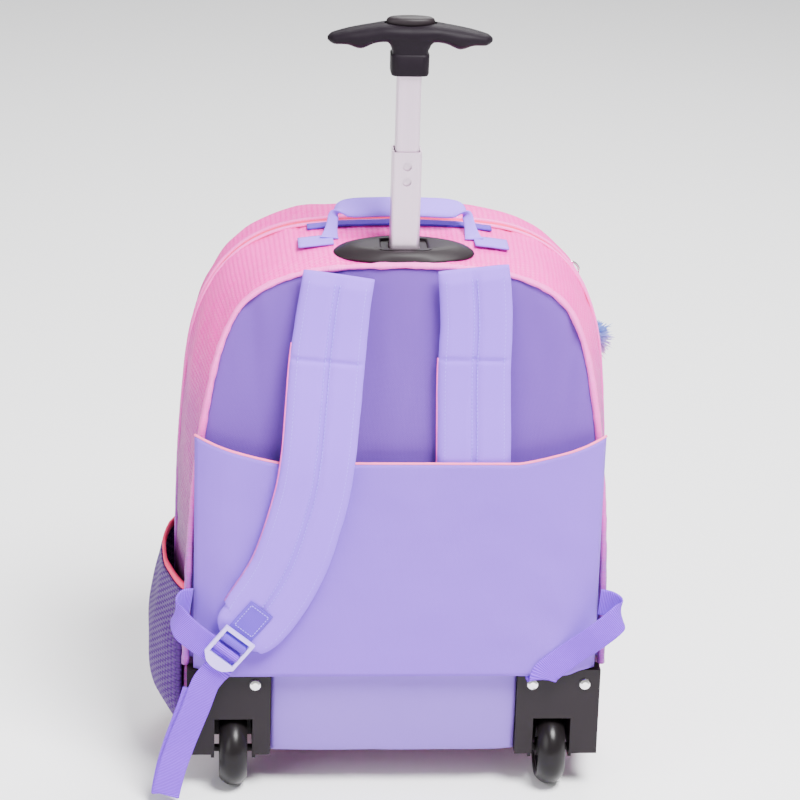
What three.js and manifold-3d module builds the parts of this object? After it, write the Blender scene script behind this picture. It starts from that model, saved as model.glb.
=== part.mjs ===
// A child's wheeled school backpack, in millimetres: +Z up, and the side worn against the back faces -Y.
// Every piece is one closed solid with its own name. Section tables hold shares of the named sizes.
import * as THREE from 'three';
import { mergeVertices } from 'three/addons/utils/BufferGeometryUtils.js';
import Module from 'manifold-3d';

const wasm = await Module();
wasm.setup();

// Fabric body
const bagWidth = 346;
const bagTop = 445;
const bagFloor = 31;
const bagDepth = 168;
const bagBack = -82;
const bagFront = bagBack + bagDepth;
const clothWall = 3;
const seat = 0.3;

// Zip between the two shells, and the tape that closes it
const zipSetback = 76;
const zipDepth = bagFront - zipSetback;
const zipWidth = 11;
const tapeWall = 2;

// Back panel, its piping and the piping round the front
const panelWidth = 322;
const panelTop = 433;
const panelPad = 7.6;
const pipingRadius = 3.7;

// Pocket panel that the shoulder straps stow behind
const coverWidth = 317;
const coverTop = 282;
const coverRise = 19;
const coverFoot = 103;
const coverSpace = 11.6;
const coverWall = 3;
const coverBinding = 3.2;

// Shoulder straps
const strapWidth = 57;
const strapThick = 10;
const strapGap = 0.6;
const leftStrapAcross = 50.8;
const leftStrapTop = 432.5;
const rightStrapAcross = 50;
const rightStrapTop = 439;
const rightStrapFoot = 152;

// Webbing and its ladder-lock buckle
const webWidth = 22;
const webThick = 1.5;
const webGap = 0.35;
const buckleAside = 122;
const buckleUp = 146.5;
const buckleTurn = THREE.MathUtils.degToRad(38.8);
const buckleLength = 30;
const buckleRim = 2.8;
const buckleThick = 3;
const barRadius = 1.25;
const patchLength = 26;

// Wheels, their axles and the corner brackets that carry them
const wheelTrack = 253;
const wheelRadius = 30;
const wheelWidth = 22;
const hubRadius = 20;
const axleRadius = 3;
const wheelSpace = 4;
const bracketWidth = 66;
const bracketHeight = 73.5;
const bracketInset = 4;
const bracketDeep = 14.6;
const bracketWall = 2.6;
const rivetRadius = 5;
const rivetInset = 12.2;
const cheekDrop = 6;
const cheekReach = 8;

// Trolley: a fixed sleeve in the bag, two sliding stages and a T-shaped grip
const trolleyInset = 24.5;
const trolleyDepth = bagBack + trolleyInset;
const upperTube = 18;
const tubeWall = 1.2;
const tubeSlip = 0.8;
const lowerTubeTop = 520;
const lowerTubeLength = 300;
const upperTubeLength = 282;
const gripTop = 618;
const gripWidth = 125;
const gripDeep = 28;
const neckFoot = 579;
const neckWidth = 29;
const neckDeep = 25;
const buttonLength = 38;
const buttonWidth = 17;
const buttonTravel = 3;
const collarWidth = 108;
const collarDeep = 49;
const collarThick = 3.4;
const collarHole = 32;
const skirtDrop = 13;

// Carrying handle and its sewn webbing
const handleWidth = 106;
const handleDeep = 24;
const handleThick = 6;
const handleRise = 15;
const handleSetback = 21;
const handleDepth = zipDepth - handleSetback;
const handleBaseWidth = 144;
const tabWidth = 26.5;
const tabAhead = 22.5;
const tabDepth = trolleyDepth + tabAhead;
const tabGap = 3;

// Mesh pocket on the left side
const pocketFoot = 46;
const pocketTop = 166;
const pocketInset = 4;
const pocketSetback = 26;
const pocketBack = bagBack + pocketInset;
const pocketFront = bagFront - pocketSetback;
const pocketBulge = 19;
const pocketWall = 1.6;
const pocketGap = 0.75;
const pocketBinding = 6;

// Charm on the front zip: a ring and a pompom
const charmSetback = 8;
const charmDepth = bagFront - charmSetback;
const ringUp = 379;
const ringRadius = 8.5;
const ringWire = 1;
const pompomInset = 7;
const pompomAhead = 2;
const pompomDrop = 61;
const pompomRadius = 18;

// Feet under the front
const footAcross = 108;
const footSetback = 30;
const footWidth = 34;
const footDeep = 22;

// Finishes of the real pieces
const finishes = {
  shinyPink: { color: 0xf6a0cc, roughness: 0.42, metalness: 0 },
  lavender: { color: 0xa08fd6, roughness: 0.85, metalness: 0 },
  paleLavender: { color: 0xb6a9e2, roughness: 0.85, metalness: 0 },
  webbing: { color: 0x8f79d8, roughness: 0.8, metalness: 0 },
  satin: { color: 0xf7cfe2, roughness: 0.4, metalness: 0 },
  coral: { color: 0xf4779c, roughness: 0.7, metalness: 0 },
  mesh: { color: 0x6a4f9a, roughness: 0.8, metalness: 0 },
  lilacPlastic: { color: 0xc3b4f0, roughness: 0.35, metalness: 0 },
  blackPlastic: { color: 0x2e282c, roughness: 0.55, metalness: 0 },
  tyreBlack: { color: 0x1d1a1d, roughness: 0.5, metalness: 0 },
  aluminium: { color: 0xc9c9cb, roughness: 0.35, metalness: 0.9 },
  chrome: { color: 0xe6e6e6, roughness: 0.12, metalness: 1 },
  fur: { color: 0x5f8fd0, roughness: 0.95, metalness: 0 },
};

const vec = (x, y, z) => new THREE.Vector3(x, y, z);
const lerp = THREE.MathUtils.lerp;
const steps = (count) => Array.from({ length: count }, (_, k) => k / (count - 1));

// Closed meshes

// A closed mesh from points and triangles, turned so that its faces point out
function closedMesh(points, faces) {
  let volume = 0;
  for (const [a, b, c] of faces) {
    volume += points[a].dot(vec(0, 0, 0).crossVectors(points[b], points[c]));
  }
  const order = volume < 0 ? [0, 2, 1] : [0, 1, 2];
  const geometry = new THREE.BufferGeometry();
  const flat = points.flatMap((point) => point.toArray());
  geometry.setAttribute('position', new THREE.Float32BufferAttribute(flat, 3));
  geometry.setIndex(faces.flatMap((face) => order.map((k) => face[k])));
  return geometry;
}

// Skin through equal rings of points, capped at both ends, or joined end to end when looped
function loft(rings, looped = false) {
  const size = rings[0].length;
  const points = rings.flat();
  const faces = [];
  const spans = looped ? rings.length : rings.length - 1;
  for (let i = 0; i < spans; i += 1) {
    const next = (i + 1) % rings.length;
    for (let j = 0; j < size; j += 1) {
      const k = (j + 1) % size;
      const [a, b, c, d] = [i * size + j, i * size + k, next * size + j, next * size + k];
      faces.push([a, b, d], [a, d, c]);
    }
  }
  if (!looped) {
    for (const ring of [0, rings.length - 1]) {
      const middle = points.length;
      const sum = rings[ring].reduce((total, point) => total.add(point), vec(0, 0, 0));
      points.push(sum.divideScalar(size));
      for (let j = 0; j < size; j += 1) {
        const [a, b] = [ring * size + j, ring * size + ((j + 1) % size)];
        faces.push(ring === 0 ? [middle, b, a] : [middle, a, b]);
      }
    }
  }
  return closedMesh(points, faces);
}

// A thick sheet between two grids of points
function slab(front, back) {
  const rows = front.length;
  const columns = front[0].length;
  const points = [...front.flat(), ...back.flat()];
  const far = rows * columns;
  const at = (row, column) => row * columns + column;
  const faces = [];
  for (let i = 0; i + 1 < rows; i += 1) {
    for (let j = 0; j + 1 < columns; j += 1) {
      const [a, b, c, d] = [at(i, j), at(i, j + 1), at(i + 1, j + 1), at(i + 1, j)];
      faces.push([a, b, c], [a, c, d], [a + far, c + far, b + far], [a + far, d + far, c + far]);
    }
  }
  const edge = [];
  for (let j = 0; j < columns; j += 1) edge.push(at(0, j));
  for (let i = 1; i < rows; i += 1) edge.push(at(i, columns - 1));
  for (let j = columns - 2; j >= 0; j -= 1) edge.push(at(rows - 1, j));
  for (let i = rows - 2; i > 0; i -= 1) edge.push(at(i, 0));
  edge.forEach((a, k) => {
    const b = edge[(k + 1) % edge.length];
    faces.push([b, a, a + far], [b, a + far, b + far]);
  });
  return closedMesh(points, faces);
}

// Sections of a strip as [share of half width, share of half thickness]
const flatSection = [[-1, -1], [1, -1], [1, 1], [-1, 1]];
const padSection = [[-1, 0], [-0.86, -0.8], [-0.5, -1], [0.5, -1], [0.86, -0.8], [1, 0], [0.86, 0.8], [0.5, 1],
  [0, 0.8], [-0.5, 1], [-0.86, 0.8]];
const roundSection = (sides) => Array.from({ length: sides }, (_, k) => {
  const angle = (2 * Math.PI * (k + 0.5)) / sides;
  return [Math.cos(angle), Math.sin(angle)];
});

// A strip along its stations {at, across, width, thick}, where across is the direction of its width
function strip(stations, section, looped = false) {
  const count = stations.length;
  const rings = stations.map((station, k) => {
    const before = looped ? (k + count - 1) % count : Math.max(0, k - 1);
    const after = looped ? (k + 1) % count : Math.min(count - 1, k + 1);
    const along = stations[after].at.clone().sub(stations[before].at).normalize();
    const across = station.across.clone().addScaledVector(along, -station.across.dot(along)).normalize();
    const out = across.clone().cross(along);
    return section.map(([u, v]) => station.at.clone()
      .addScaledVector(across, (u * station.width) / 2)
      .addScaledVector(out, (v * station.thick) / 2));
  });
  return loft(rings, looped);
}

// Table value at a fractional row, on a smooth curve through the rows
function valueAt(rows, key, row) {
  const last = rows.length - 1;
  const first = Math.min(Math.floor(row), last - 1);
  const t = row - first;
  const near = [-1, 0, 1, 2].map((k) => rows[THREE.MathUtils.clamp(first + k, 0, last)][key]);
  const [a, b, c, d] = near;
  return b + 0.5 * t * (c - a + t * (2 * a - 5 * b + 4 * c - d + t * (3 * (b - c) + d - a)));
}

// The whole table read at even steps
function readTable(rows, count) {
  const keys = Object.keys(rows[0]);
  return steps(count).map((t) => {
    const row = t * (rows.length - 1);
    return Object.fromEntries(keys.map((key) => [key, valueAt(rows, key, row)]));
  });
}

// Straight-line value of one column against another that rises
function between(rows, from, key, value) {
  let i = 0;
  while (i < rows.length - 2 && rows[i + 1][from] < value) i += 1;
  const t = (value - rows[i][from]) / (rows[i + 1][from] - rows[i][from]);
  return lerp(rows[i][key], rows[i + 1][key], THREE.MathUtils.clamp(t, 0, 1));
}

// Joins and cuts

function solidOf(geometry) {
  const bare = geometry.clone();
  for (const name of Object.keys(bare.attributes)) {
    if (name !== 'position') bare.deleteAttribute(name);
  }
  const merged = mergeVertices(bare, 1e-4);
  const mesh = new wasm.Mesh({
    numProp: 3,
    vertProperties: new Float32Array(merged.attributes.position.array),
    triVerts: new Uint32Array(merged.index.array),
  });
  return new wasm.Manifold(mesh);
}

function geometryOf(solid) {
  const mesh = solid.getMesh();
  const geometry = new THREE.BufferGeometry();
  geometry.setAttribute('position', new THREE.BufferAttribute(new Float32Array(mesh.vertProperties), 3));
  geometry.setIndex(new THREE.BufferAttribute(new Uint32Array(mesh.triVerts), 1));
  return geometry;
}

const join = (first, ...others) => (
  geometryOf(others.reduce((all, one) => all.add(solidOf(one)), solidOf(first)))
);
const cut = (first, ...others) => (
  geometryOf(others.reduce((all, one) => all.subtract(solidOf(one)), solidOf(first)))
);

// A box between two corners
function block(low, high) {
  const size = high.clone().sub(low);
  const middle = low.clone().add(high).multiplyScalar(0.5);
  return new THREE.BoxGeometry(size.x, size.y, size.z).translate(middle.x, middle.y, middle.z);
}

// A rod along X between two ends
function crossRod(radius, left, right, y, z, sides = 16) {
  const rod = new THREE.CylinderGeometry(radius, radius, right - left, sides);
  return rod.rotateZ(Math.PI / 2).translate((left + right) / 2, y, z);
}

// Rounded rectangle centred on the axis, as a Shape
function roundedShape(width, depth, radius) {
  const [x, y] = [width / 2, depth / 2];
  const shape = new THREE.Shape();
  shape.moveTo(-x + radius, -y);
  shape.lineTo(x - radius, -y);
  shape.absarc(x - radius, -y + radius, radius, -Math.PI / 2, 0);
  shape.lineTo(x, y - radius);
  shape.absarc(x - radius, y - radius, radius, 0, Math.PI / 2);
  shape.lineTo(-x + radius, y);
  shape.absarc(-x + radius, y - radius, radius, Math.PI / 2, Math.PI);
  shape.lineTo(-x, -y + radius);
  shape.absarc(-x + radius, -y + radius, radius, Math.PI, 1.5 * Math.PI);
  shape.closePath();
  return shape;
}

// Square tube with rounded corners, standing on the trolley's centre line
function squareTube(outside, foot, top, corner = 3) {
  const shape = roundedShape(outside, outside, corner);
  shape.holes.push(roundedShape(outside - 2 * tubeWall, outside - 2 * tubeWall, corner - tubeWall));
  const tube = new THREE.ExtrudeGeometry(shape, { depth: top - foot, bevelEnabled: false, curveSegments: 3 });
  return tube.translate(0, trolleyDepth, foot);
}

// Form of the fabric body

// Arch outline from the floor to the crown: share of height, and shares of half width at the back and amidships
const archRows = [
  { up: 0, panel: 0.6, middle: 0.6 },
  { up: 0, panel: 0.93, middle: 0.93 },
  { up: 0.01, panel: 0.98, middle: 0.98 },
  { up: 0.035, panel: 1, middle: 1 },
  { up: 0.22, panel: 0.997, middle: 1 },
  { up: 0.41, panel: 0.981, middle: 0.994 },
  { up: 0.54, panel: 0.96, middle: 0.985 },
  { up: 0.66, panel: 0.929, middle: 0.965 },
  { up: 0.75, panel: 0.893, middle: 0.942 },
  { up: 0.82, panel: 0.857, middle: 0.903 },
  { up: 0.88, panel: 0.806, middle: 0.838 },
  { up: 0.925, panel: 0.74, middle: 0.755 },
  { up: 0.96, panel: 0.625, middle: 0.645 },
  { up: 0.985, panel: 0.45, middle: 0.49 },
  { up: 0.996, panel: 0.24, middle: 0.27 },
  { up: 1, panel: 0, middle: 0 },
];

// Stations from the back wall to the front wall: share of depth, of width and of height, and how far the
// outline has changed from the panel's to the middle's
const bodyRows = [
  { deep: 0, wide: 0.925, high: 0.964, full: 0 },
  { deep: 0.015, wide: 0.954, high: 0.981, full: 0 },
  { deep: 0.12, wide: 0.968, high: 0.987, full: 0.3 },
  { deep: 0.3, wide: 0.99, high: 0.992, full: 0.8 },
  { deep: 0.55, wide: 1, high: 0.998, full: 1 },
  { deep: 0.75, wide: 0.993, high: 1, full: 1 },
  { deep: 0.88, wide: 0.968, high: 0.99, full: 0.9 },
  { deep: 0.95, wide: 0.93, high: 0.971, full: 0.6 },
  { deep: 0.985, wide: 0.89, high: 0.947, full: 0.4 },
  { deep: 1, wide: 0.83, high: 0.91, full: 0.3 },
];

// Half width, crown and fullness of the body at a depth
function bodyAt(y) {
  const deep = (y - bagBack) / (bagFront - bagBack);
  return {
    half: (between(bodyRows, 'deep', 'wide', deep) * bagWidth) / 2,
    top: lerp(bagFloor, bagTop, between(bodyRows, 'deep', 'high', deep)),
    full: between(bodyRows, 'deep', 'full', deep),
  };
}

// One outline as a closed ring of points at a depth, pulled in by an inset
function archRing(y, half, top, full, inset = 0) {
  const floor = bagFloor + inset;
  const side = archRows.slice(0, -1).map((row) => ({
    x: lerp(row.panel, row.middle, full) * (half - inset),
    z: lerp(floor, top - inset, row.up),
  }));
  const right = side.map((point) => vec(point.x, y, point.z));
  const left = side.map((point) => vec(-point.x, y, point.z)).reverse();
  return [...right, vec(0, y, top - inset), ...left];
}

function bodyRing(y, inset = 0) {
  const { half, top, full } = bodyAt(y);
  return archRing(y, half, top, full, inset);
}

// Outside of the body's left or right flank, and of its top
function flankAt(y, z) {
  const { half, top, full } = bodyAt(y);
  const up = (z - bagFloor) / (top - bagFloor);
  const rows = archRows.slice(1);
  return half * lerp(between(rows, 'up', 'panel', up), between(rows, 'up', 'middle', up), full);
}

function crownAt(x, y) {
  const { half, top, full } = bodyAt(y);
  const rows = archRows.slice(8).reverse().map((row) => ({
    across: lerp(row.panel, row.middle, full), up: row.up,
  }));
  return lerp(bagFloor, top, between(rows, 'across', 'up', Math.abs(x) / half));
}

// Depths of the stations between two limits, with both limits
function depthsBetween(low, high) {
  const inner = bodyRows.map((row) => lerp(bagBack, bagFront, row.deep))
    .filter((y) => y > low + 1 && y < high - 1);
  return [low, ...inner, high];
}

const zipBack = zipDepth - zipWidth / 2;
const zipFront = zipDepth + zipWidth / 2;

// Wheel and bracket places that the shell, the panels and the piping follow
const axleUp = wheelRadius;
const wheelY = bagBack;
const bracketTop = bagFloor + bracketHeight;
const bracketFace = bagBack - bracketDeep;
const bracketMiddle = wheelTrack / 2 + bracketInset;
const bracketInner = bracketMiddle - bracketWidth / 2;
const bracketOuter = bracketMiddle + bracketWidth / 2;
const wellHalf = wheelWidth / 2 + wheelSpace;
const wellTop = wheelRadius + axleUp + wheelSpace / 2;
const wellBack = wheelY + wheelRadius + wheelSpace;

// Trolley places
const lowerTube = upperTube + 2 * (tubeWall + tubeSlip);
const sleeveTube = lowerTube + 2 * (tubeWall + tubeSlip);
const collarFoot = crownAt(0, trolleyDepth + collarDeep / 2) + seat;
const neckWall = 2;
const neckHole = sleeveTube + 2 * (neckWall + seat);

function rearShell() {
  const depths = depthsBetween(bagBack, zipBack);
  const outside = loft(depths.map((y) => bodyRing(y)));
  const hollowDepths = [bagBack + clothWall, ...depths.slice(2, -1), zipBack + clothWall];
  const hollow = loft(hollowDepths.map((y) => bodyRing(y, clothWall)));
  const wells = [-1, 1].map((side) => {
    const middle = (side * wheelTrack) / 2;
    const reach = wellHalf + bracketWall + seat;
    return block(
      vec(middle - reach, bagBack - 1, bagFloor - 1),
      vec(middle + reach, wellBack + bracketWall + seat, wellTop + bracketWall + seat),
    );
  });
  const hole = neckHole / 2 + neckWall + seat;
  const mouth = block(
    vec(-hole, trolleyDepth - hole, bagTop - collarWidth / 2),
    vec(hole, trolleyDepth + hole, bagTop + collarThick),
  );
  return cut(outside, hollow, ...wells, mouth);
}

function frontShell() {
  const depths = depthsBetween(zipFront, bagFront);
  const outside = loft(depths.map((y) => bodyRing(y)));
  const hollowDepths = [zipFront - clothWall, ...depths.slice(1, -2), bagFront - clothWall];
  const hollow = loft(hollowDepths.map((y) => bodyRing(y, clothWall)));
  return cut(outside, hollow);
}

// Tape all round between the shells
function zipTape() {
  const [low, high] = [zipBack + seat, zipFront - seat];
  const outer = [bodyRing(low), bodyRing(high)];
  const inner = [bodyRing(low, tapeWall), bodyRing(high, tapeWall)];
  return loft(outer[0].map((point, k) => [point, outer[1][k], inner[1][k], inner[0][k]]), true);
}

// Piping along an arch from one foot, over the crown, to the other foot
function archPiping(y, half, top, full, foot) {
  const ring = archRing(y, half, top, full);
  const over = ring.filter((point) => point.z > foot + 1);
  const rows = archRows.slice(3);
  const up = (foot - bagFloor) / (top - bagFloor);
  const footAcross = half * lerp(between(rows, 'up', 'panel', up), between(rows, 'up', 'middle', up), full);
  const path = [vec(footAcross, y, foot), ...over, vec(-footAcross, y, foot)];
  const stations = path.map((at) => ({
    at, across: vec(0, 1, 0), width: 2 * pipingRadius, thick: 2 * pipingRadius,
  }));
  return strip(stations, roundSection(6));
}

const panelFace = bagBack - seat - panelPad;

function backPiping() {
  const reach = pipingRadius + seat;
  const y = bagBack - seat - pipingRadius * Math.cos(Math.PI / 6);
  return archPiping(y, panelWidth / 2 + reach, panelTop + reach, 0, bracketTop + seat);
}

function frontPiping() {
  const edge = bodyRows[bodyRows.length - 2];
  const y = bagFront + seat + pipingRadius * Math.cos(Math.PI / 6);
  const { half, top, full } = bodyAt(lerp(bagBack, bagFront, edge.deep));
  return archPiping(y, half - 2 * pipingRadius, top - 2 * pipingRadius, full, bagFloor + 2 * pipingRadius);
}

// Padded back panel with soft upright folds, inside its piping
function backPanel() {
  const foot = bracketTop + 8;
  const rows = archRows.slice(4, -1);
  const heights = [foot, ...rows.map((row) => lerp(bagFloor, panelTop, row.up)).filter((z) => z > foot + 5)];
  const across = steps(15).map((t) => 2 * t - 1);
  const grid = (depthAt) => heights.map((z) => {
    const up = (z - bagFloor) / (panelTop - bagFloor);
    const half = (panelWidth / 2) * between(rows, 'up', 'panel', up);
    return across.map((u) => vec(u * half, depthAt(u, z), z));
  });
  const front = grid((u, z) => {
    const edge = 0.5 * Math.abs(u) ** 6;
    const fold = 0.12 * (1 - Math.cos(u * 15)) * THREE.MathUtils.smoothstep(z, coverTop, panelTop);
    return bagBack - seat - panelPad * (1 - Math.min(0.6, edge + fold));
  });
  return slab(front, grid(() => bagBack - seat));
}

// Lavender panel low between the brackets, whose top closes the stow pocket
function bottomPanel() {
  const half = bracketInner - seat;
  const face = panelFace - coverSpace + seat;
  const rows = [
    { up: 0.01, out: 0.35 }, { up: 0.05, out: 0.62 }, { up: 0.45, out: 0.7 }, { up: 0.8, out: 0.78 },
    { up: 0.93, out: 1 }, { up: 1, out: 0.96 },
  ];
  const across = steps(5).map((t) => 2 * t - 1);
  const high = bracketTop + 7;
  const grid = (depthAt) => rows.map((row) => across.map((u) => (
    vec(u * half, depthAt(row.out), lerp(bagFloor, high, row.up))
  )));
  return slab(grid((out) => lerp(bagBack - seat, face, out)), grid(() => bagBack - seat));
}

// Stow pocket panel: front depth and edges against the share of its half width
const coverBack = panelFace - coverSpace;
const coverFace = coverBack - coverWall;
const coverSide = panelFace - seat - coverWall;
const coverDepth = (u) => lerp(coverSide, coverFace, 1 - Math.max(0, (Math.abs(u) - 0.8) / 0.2) ** 2);
const coverRim = (u) => coverTop + coverRise * Math.max(0, (Math.abs(u) - 0.57) / 0.43) ** 1.25;
const coverHem = (u) => (
  Math.max(coverFoot, lerp(coverFoot, bracketTop + 4 * seat, (Math.abs(u) - 0.85) / 0.08))
);
const coverColumns = [-1, -0.96, -0.9, -0.8, -0.57, -0.3, 0, 0.3, 0.57, 0.8, 0.9, 0.96, 1];

function stowCover() {
  const rows = steps(5);
  const grid = (shift) => rows.map((v) => coverColumns.map((u) => {
    const z = lerp(coverHem(u), coverRim(u), v);
    return vec((u * coverWidth) / 2, coverDepth(u) + shift, z);
  }));
  return slab(grid(0), grid(coverWall));
}

function coverEdge() {
  const stations = coverColumns.map((u) => ({
    at: vec((u * coverWidth) / 2, coverDepth(u) + coverWall / 2, coverRim(u) + seat + coverBinding / 2),
    across: vec(0, 1, 0),
    width: coverBinding,
    thick: coverBinding,
  }));
  return strip(stations, roundSection(6));
}

// Shoulder straps: places as shares of the strap's height above the bag's floor, widths of the strap's width
const strapInner = panelFace - strapGap - strapThick / 2;
const strapOuter = coverFace - strapGap - strapThick / 2;
const leftStrapRows = [
  { across: 0, up: 1, out: 0, wide: 0.95 },
  { across: -0.009, up: 0.934, out: 0.06, wide: 0.965 },
  { across: -0.019, up: 0.836, out: 0.28, wide: 1 },
  { across: -0.026, up: 0.736, out: 0.7, wide: 1 },
  { across: -0.034, up: 0.638, out: 1, wide: 0.99 },
  { across: -0.049, up: 0.546, out: 1.02, wide: 1 },
  { across: -0.089, up: 0.414, out: 1.02, wide: 1.01 },
  { across: -0.148, up: 0.313, out: 1, wide: 1 },
  { across: -0.18, up: 0.282, out: 1, wide: 0.8 },
  { across: -0.195, up: 0.266, out: 1, wide: 0.45 },
];

function leftStrap() {
  const height = leftStrapTop - bagFloor;
  const stations = readTable(leftStrapRows, 20).map((row) => ({
    at: vec(row.across * height - leftStrapAcross, lerp(strapInner, strapOuter, row.out),
      bagFloor + row.up * height),
    across: vec(1, 0, 0),
    width: row.wide * strapWidth,
    thick: strapThick,
  }));
  return strip(stations, padSection);
}

const rightStrapRows = [
  { across: 0, up: 1, out: 0.18, wide: 0.94 },
  { across: 0.008, up: 0.93, out: 0.05, wide: 0.96 },
  { across: 0.014, up: 0.84, out: 0, wide: 0.96 },
  { across: 0.013, up: 0.7, out: 0, wide: 0.98 },
  { across: 0.02, up: 0.5, out: 0, wide: 1 },
  { across: 0.026, up: 0.2, out: 0, wide: 0.98 },
  { across: 0.03, up: 0, out: 0, wide: 0.7 },
];

function rightStrap() {
  const height = rightStrapTop - rightStrapFoot;
  const stations = readTable(rightStrapRows, 13).map((row) => ({
    at: vec(rightStrapAcross + row.across * height, lerp(strapInner, strapOuter, row.out),
      rightStrapFoot + row.up * height),
    across: vec(1, 0, 0),
    width: row.wide * strapWidth,
    thick: strapThick,
  }));
  return strip(stations, padSection);
}

// Buckle and webbing share one frame: along runs down the buckle from its top edge, out is towards the wearer
const strapFace = strapOuter - strapThick / 2;
const buckleWidth = webWidth + 2 * (buckleRim + webGap);
const buckleMiddle = strapFace - 2 * (webThick + webGap) - webGap - buckleThick / 2;
const barFirst = 0.29 * buckleLength;
const barSecond = 0.58 * buckleLength;
const buckleDown = vec(-Math.sin(buckleTurn), 0, -Math.cos(buckleTurn));
const buckleAcross = vec(Math.cos(buckleTurn), 0, -Math.sin(buckleTurn));
const onBuckle = (along, y, across = 0) => vec(-buckleAside, y, buckleUp)
  .addScaledVector(buckleDown, along).addScaledVector(buckleAcross, across);
const webLayer = (layer) => strapFace - webGap - webThick / 2 - layer * (webThick + webGap);

function strapBuckle() {
  const [half, end, rim] = [buckleWidth / 2, buckleLength, buckleRim];
  const outline = new THREE.Shape();
  outline.moveTo(-half, 0);
  outline.lineTo(half, 0);
  outline.lineTo(half, end * 0.9);
  outline.quadraticCurveTo(half * 0.8, end, half * 0.55, end + rim);
  outline.quadraticCurveTo(0, end + 2 * rim, -half * 0.55, end + rim);
  outline.quadraticCurveTo(-half * 0.8, end, -half, end * 0.9);
  outline.closePath();
  const window = new THREE.Path();
  window.moveTo(-half + rim, rim);
  window.lineTo(-half + rim, end * 0.82);
  window.lineTo(half - rim, end * 0.82);
  window.lineTo(half - rim, rim);
  window.closePath();
  outline.holes.push(window);
  const plate = new THREE.ExtrudeGeometry(outline, {
    depth: buckleThick, bevelEnabled: false, curveSegments: 4,
  }).translate(0, 0, -buckleThick / 2);
  const rods = [barFirst, barSecond].map((y) => crossRod(barRadius, -half + rim / 2, half - rim / 2, y, 0, 8));
  const flat = join(plate, ...rods);
  const place = new THREE.Matrix4().makeBasis(buckleAcross, buckleDown, vec(0, 1, 0));
  place.setPosition(vec(-buckleAside, buckleMiddle, buckleUp));
  return flat.applyMatrix4(place);
}

// Half turn of webbing over a buckle bar, entering on one side and leaving on the other
function overBar(bar, enter) {
  const radius = barRadius + webGap + webThick / 2;
  return steps(5).map((t) => {
    const angle = Math.PI * t;
    return onBuckle(bar - enter * radius * Math.cos(angle), buckleMiddle - radius * Math.sin(angle));
  });
}

const webStations = (path, across = buckleAcross) => path.map((at) => ({
  at, across, width: webWidth, thick: webThick,
}));

// Short webbing sewn on the strap, up through the buckle and over its first bar
function strapPatch() {
  const flatY = webLayer(0);
  const radius = barRadius + webGap + webThick / 2;
  const path = [
    onBuckle(-patchLength, flatY), onBuckle(-patchLength / 2, flatY), onBuckle(0, flatY),
    onBuckle(barFirst - radius - 2.6, flatY - 0.4), onBuckle(barFirst - radius - 0.7, flatY - 2),
    ...overBar(barFirst, 1),
    onBuckle(barFirst + radius, buckleMiddle + 1.2),
  ];
  return strip(webStations(path), flatSection);
}

// Left adjuster: from its seam, out in an arch and in behind the buckle, in shares of the webbing's width
const leftArch = [
  { across: -0.023, out: 0, up: 0.409, lean: 0 },
  { across: -0.364, out: 0.227, up: 0.455, lean: 0.05 },
  { across: -0.545, out: 0.591, up: 0.273, lean: 0.15 },
  { across: -0.273, out: 1, up: -0.136, lean: 0.35 },
  { across: 0.227, out: 1.182, up: -0.636, lean: 0.55 },
  { across: 0.864, out: 1.227, up: -1.091, lean: 0.62 },
];

// Stations of webbing that leaves a seam: places in shares of its width, and its turn from upright in radians
function seamWebbing(seam, rows, turn) {
  return rows.map((row) => ({
    at: seam.clone().add(vec(row.across, -row.out, row.up).multiplyScalar(webWidth)),
    across: vec(Math.sin(row.lean * turn), 0, Math.cos(row.lean * turn)),
    width: webWidth,
    thick: webThick,
  }));
}

const seamLeft = vec(-panelWidth / 2 + 1, coverSide - webThick - seat / 3, buckleUp + webWidth * 0.36);

// Free tail below the buckle: shares of its drop, with the end folded back behind it
const tailDrop = 114;
const tailRows = [
  { across: 0.02, down: 0.04, out: 1.5 },
  { across: -0.07, down: 0.16, out: 1.4 },
  { across: -0.13, down: 0.33, out: 1.2 },
  { across: -0.23, down: 0.6, out: 1 },
  { across: -0.3, down: 0.82, out: 0.6 },
  { across: -0.34, down: 1, out: 0.2 },
];

function leftWebbing() {
  const radius = barRadius + webGap + webThick / 2;
  const arch = seamWebbing(seamLeft, leftArch, 1.3);
  arch[arch.length - 1].at.copy(onBuckle(0.81 * buckleLength, webLayer(0), -0.22 * webWidth));
  arch[arch.length - 2].at.y = webLayer(0) + 0.4;
  const tailTop = onBuckle(buckleLength, webLayer(1));
  const tail = readTable(tailRows, 11).map((row) => vec(
    tailTop.x + row.across * tailDrop, tailTop.y + row.out - 1.5, tailTop.z - row.down * tailDrop,
  ));
  const through = [
    onBuckle(barSecond - radius - 6, webLayer(0)),
    onBuckle(barSecond - radius - 1.2, webLayer(0) - 0.3),
    onBuckle(barSecond - radius - 0.1, webLayer(0) - 1.8),
    ...overBar(barSecond, 1),
    onBuckle(barSecond + radius + 0.1, buckleMiddle + 1.4),
    onBuckle(barSecond + radius + 1.4, webLayer(1) - 0.1),
    onBuckle(barSecond + radius + 4, webLayer(1)),
  ];
  const lastDown = tail[tail.length - 1];
  const foldRadius = webThick;
  const turn = steps(5).map((t) => lastDown.clone().add(vec(
    -0.5 * t, foldRadius * (1 - Math.cos(Math.PI * t)), -foldRadius * Math.sin(Math.PI * t),
  )));
  const back = tail.slice(3, -1).reverse().map((point, k) => point.clone().add(vec(
    -0.8 - 0.5 * k, 2 * foldRadius, 1,
  )));
  const run = webStations([...through, ...tail, ...turn.slice(1), ...back]);
  run.slice(through.length + 2).forEach((station) => {
    station.across = vec(0.93, 0, -0.3);
  });
  return join(strip(run, flatSection), strip(arch, flatSection));
}

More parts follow.
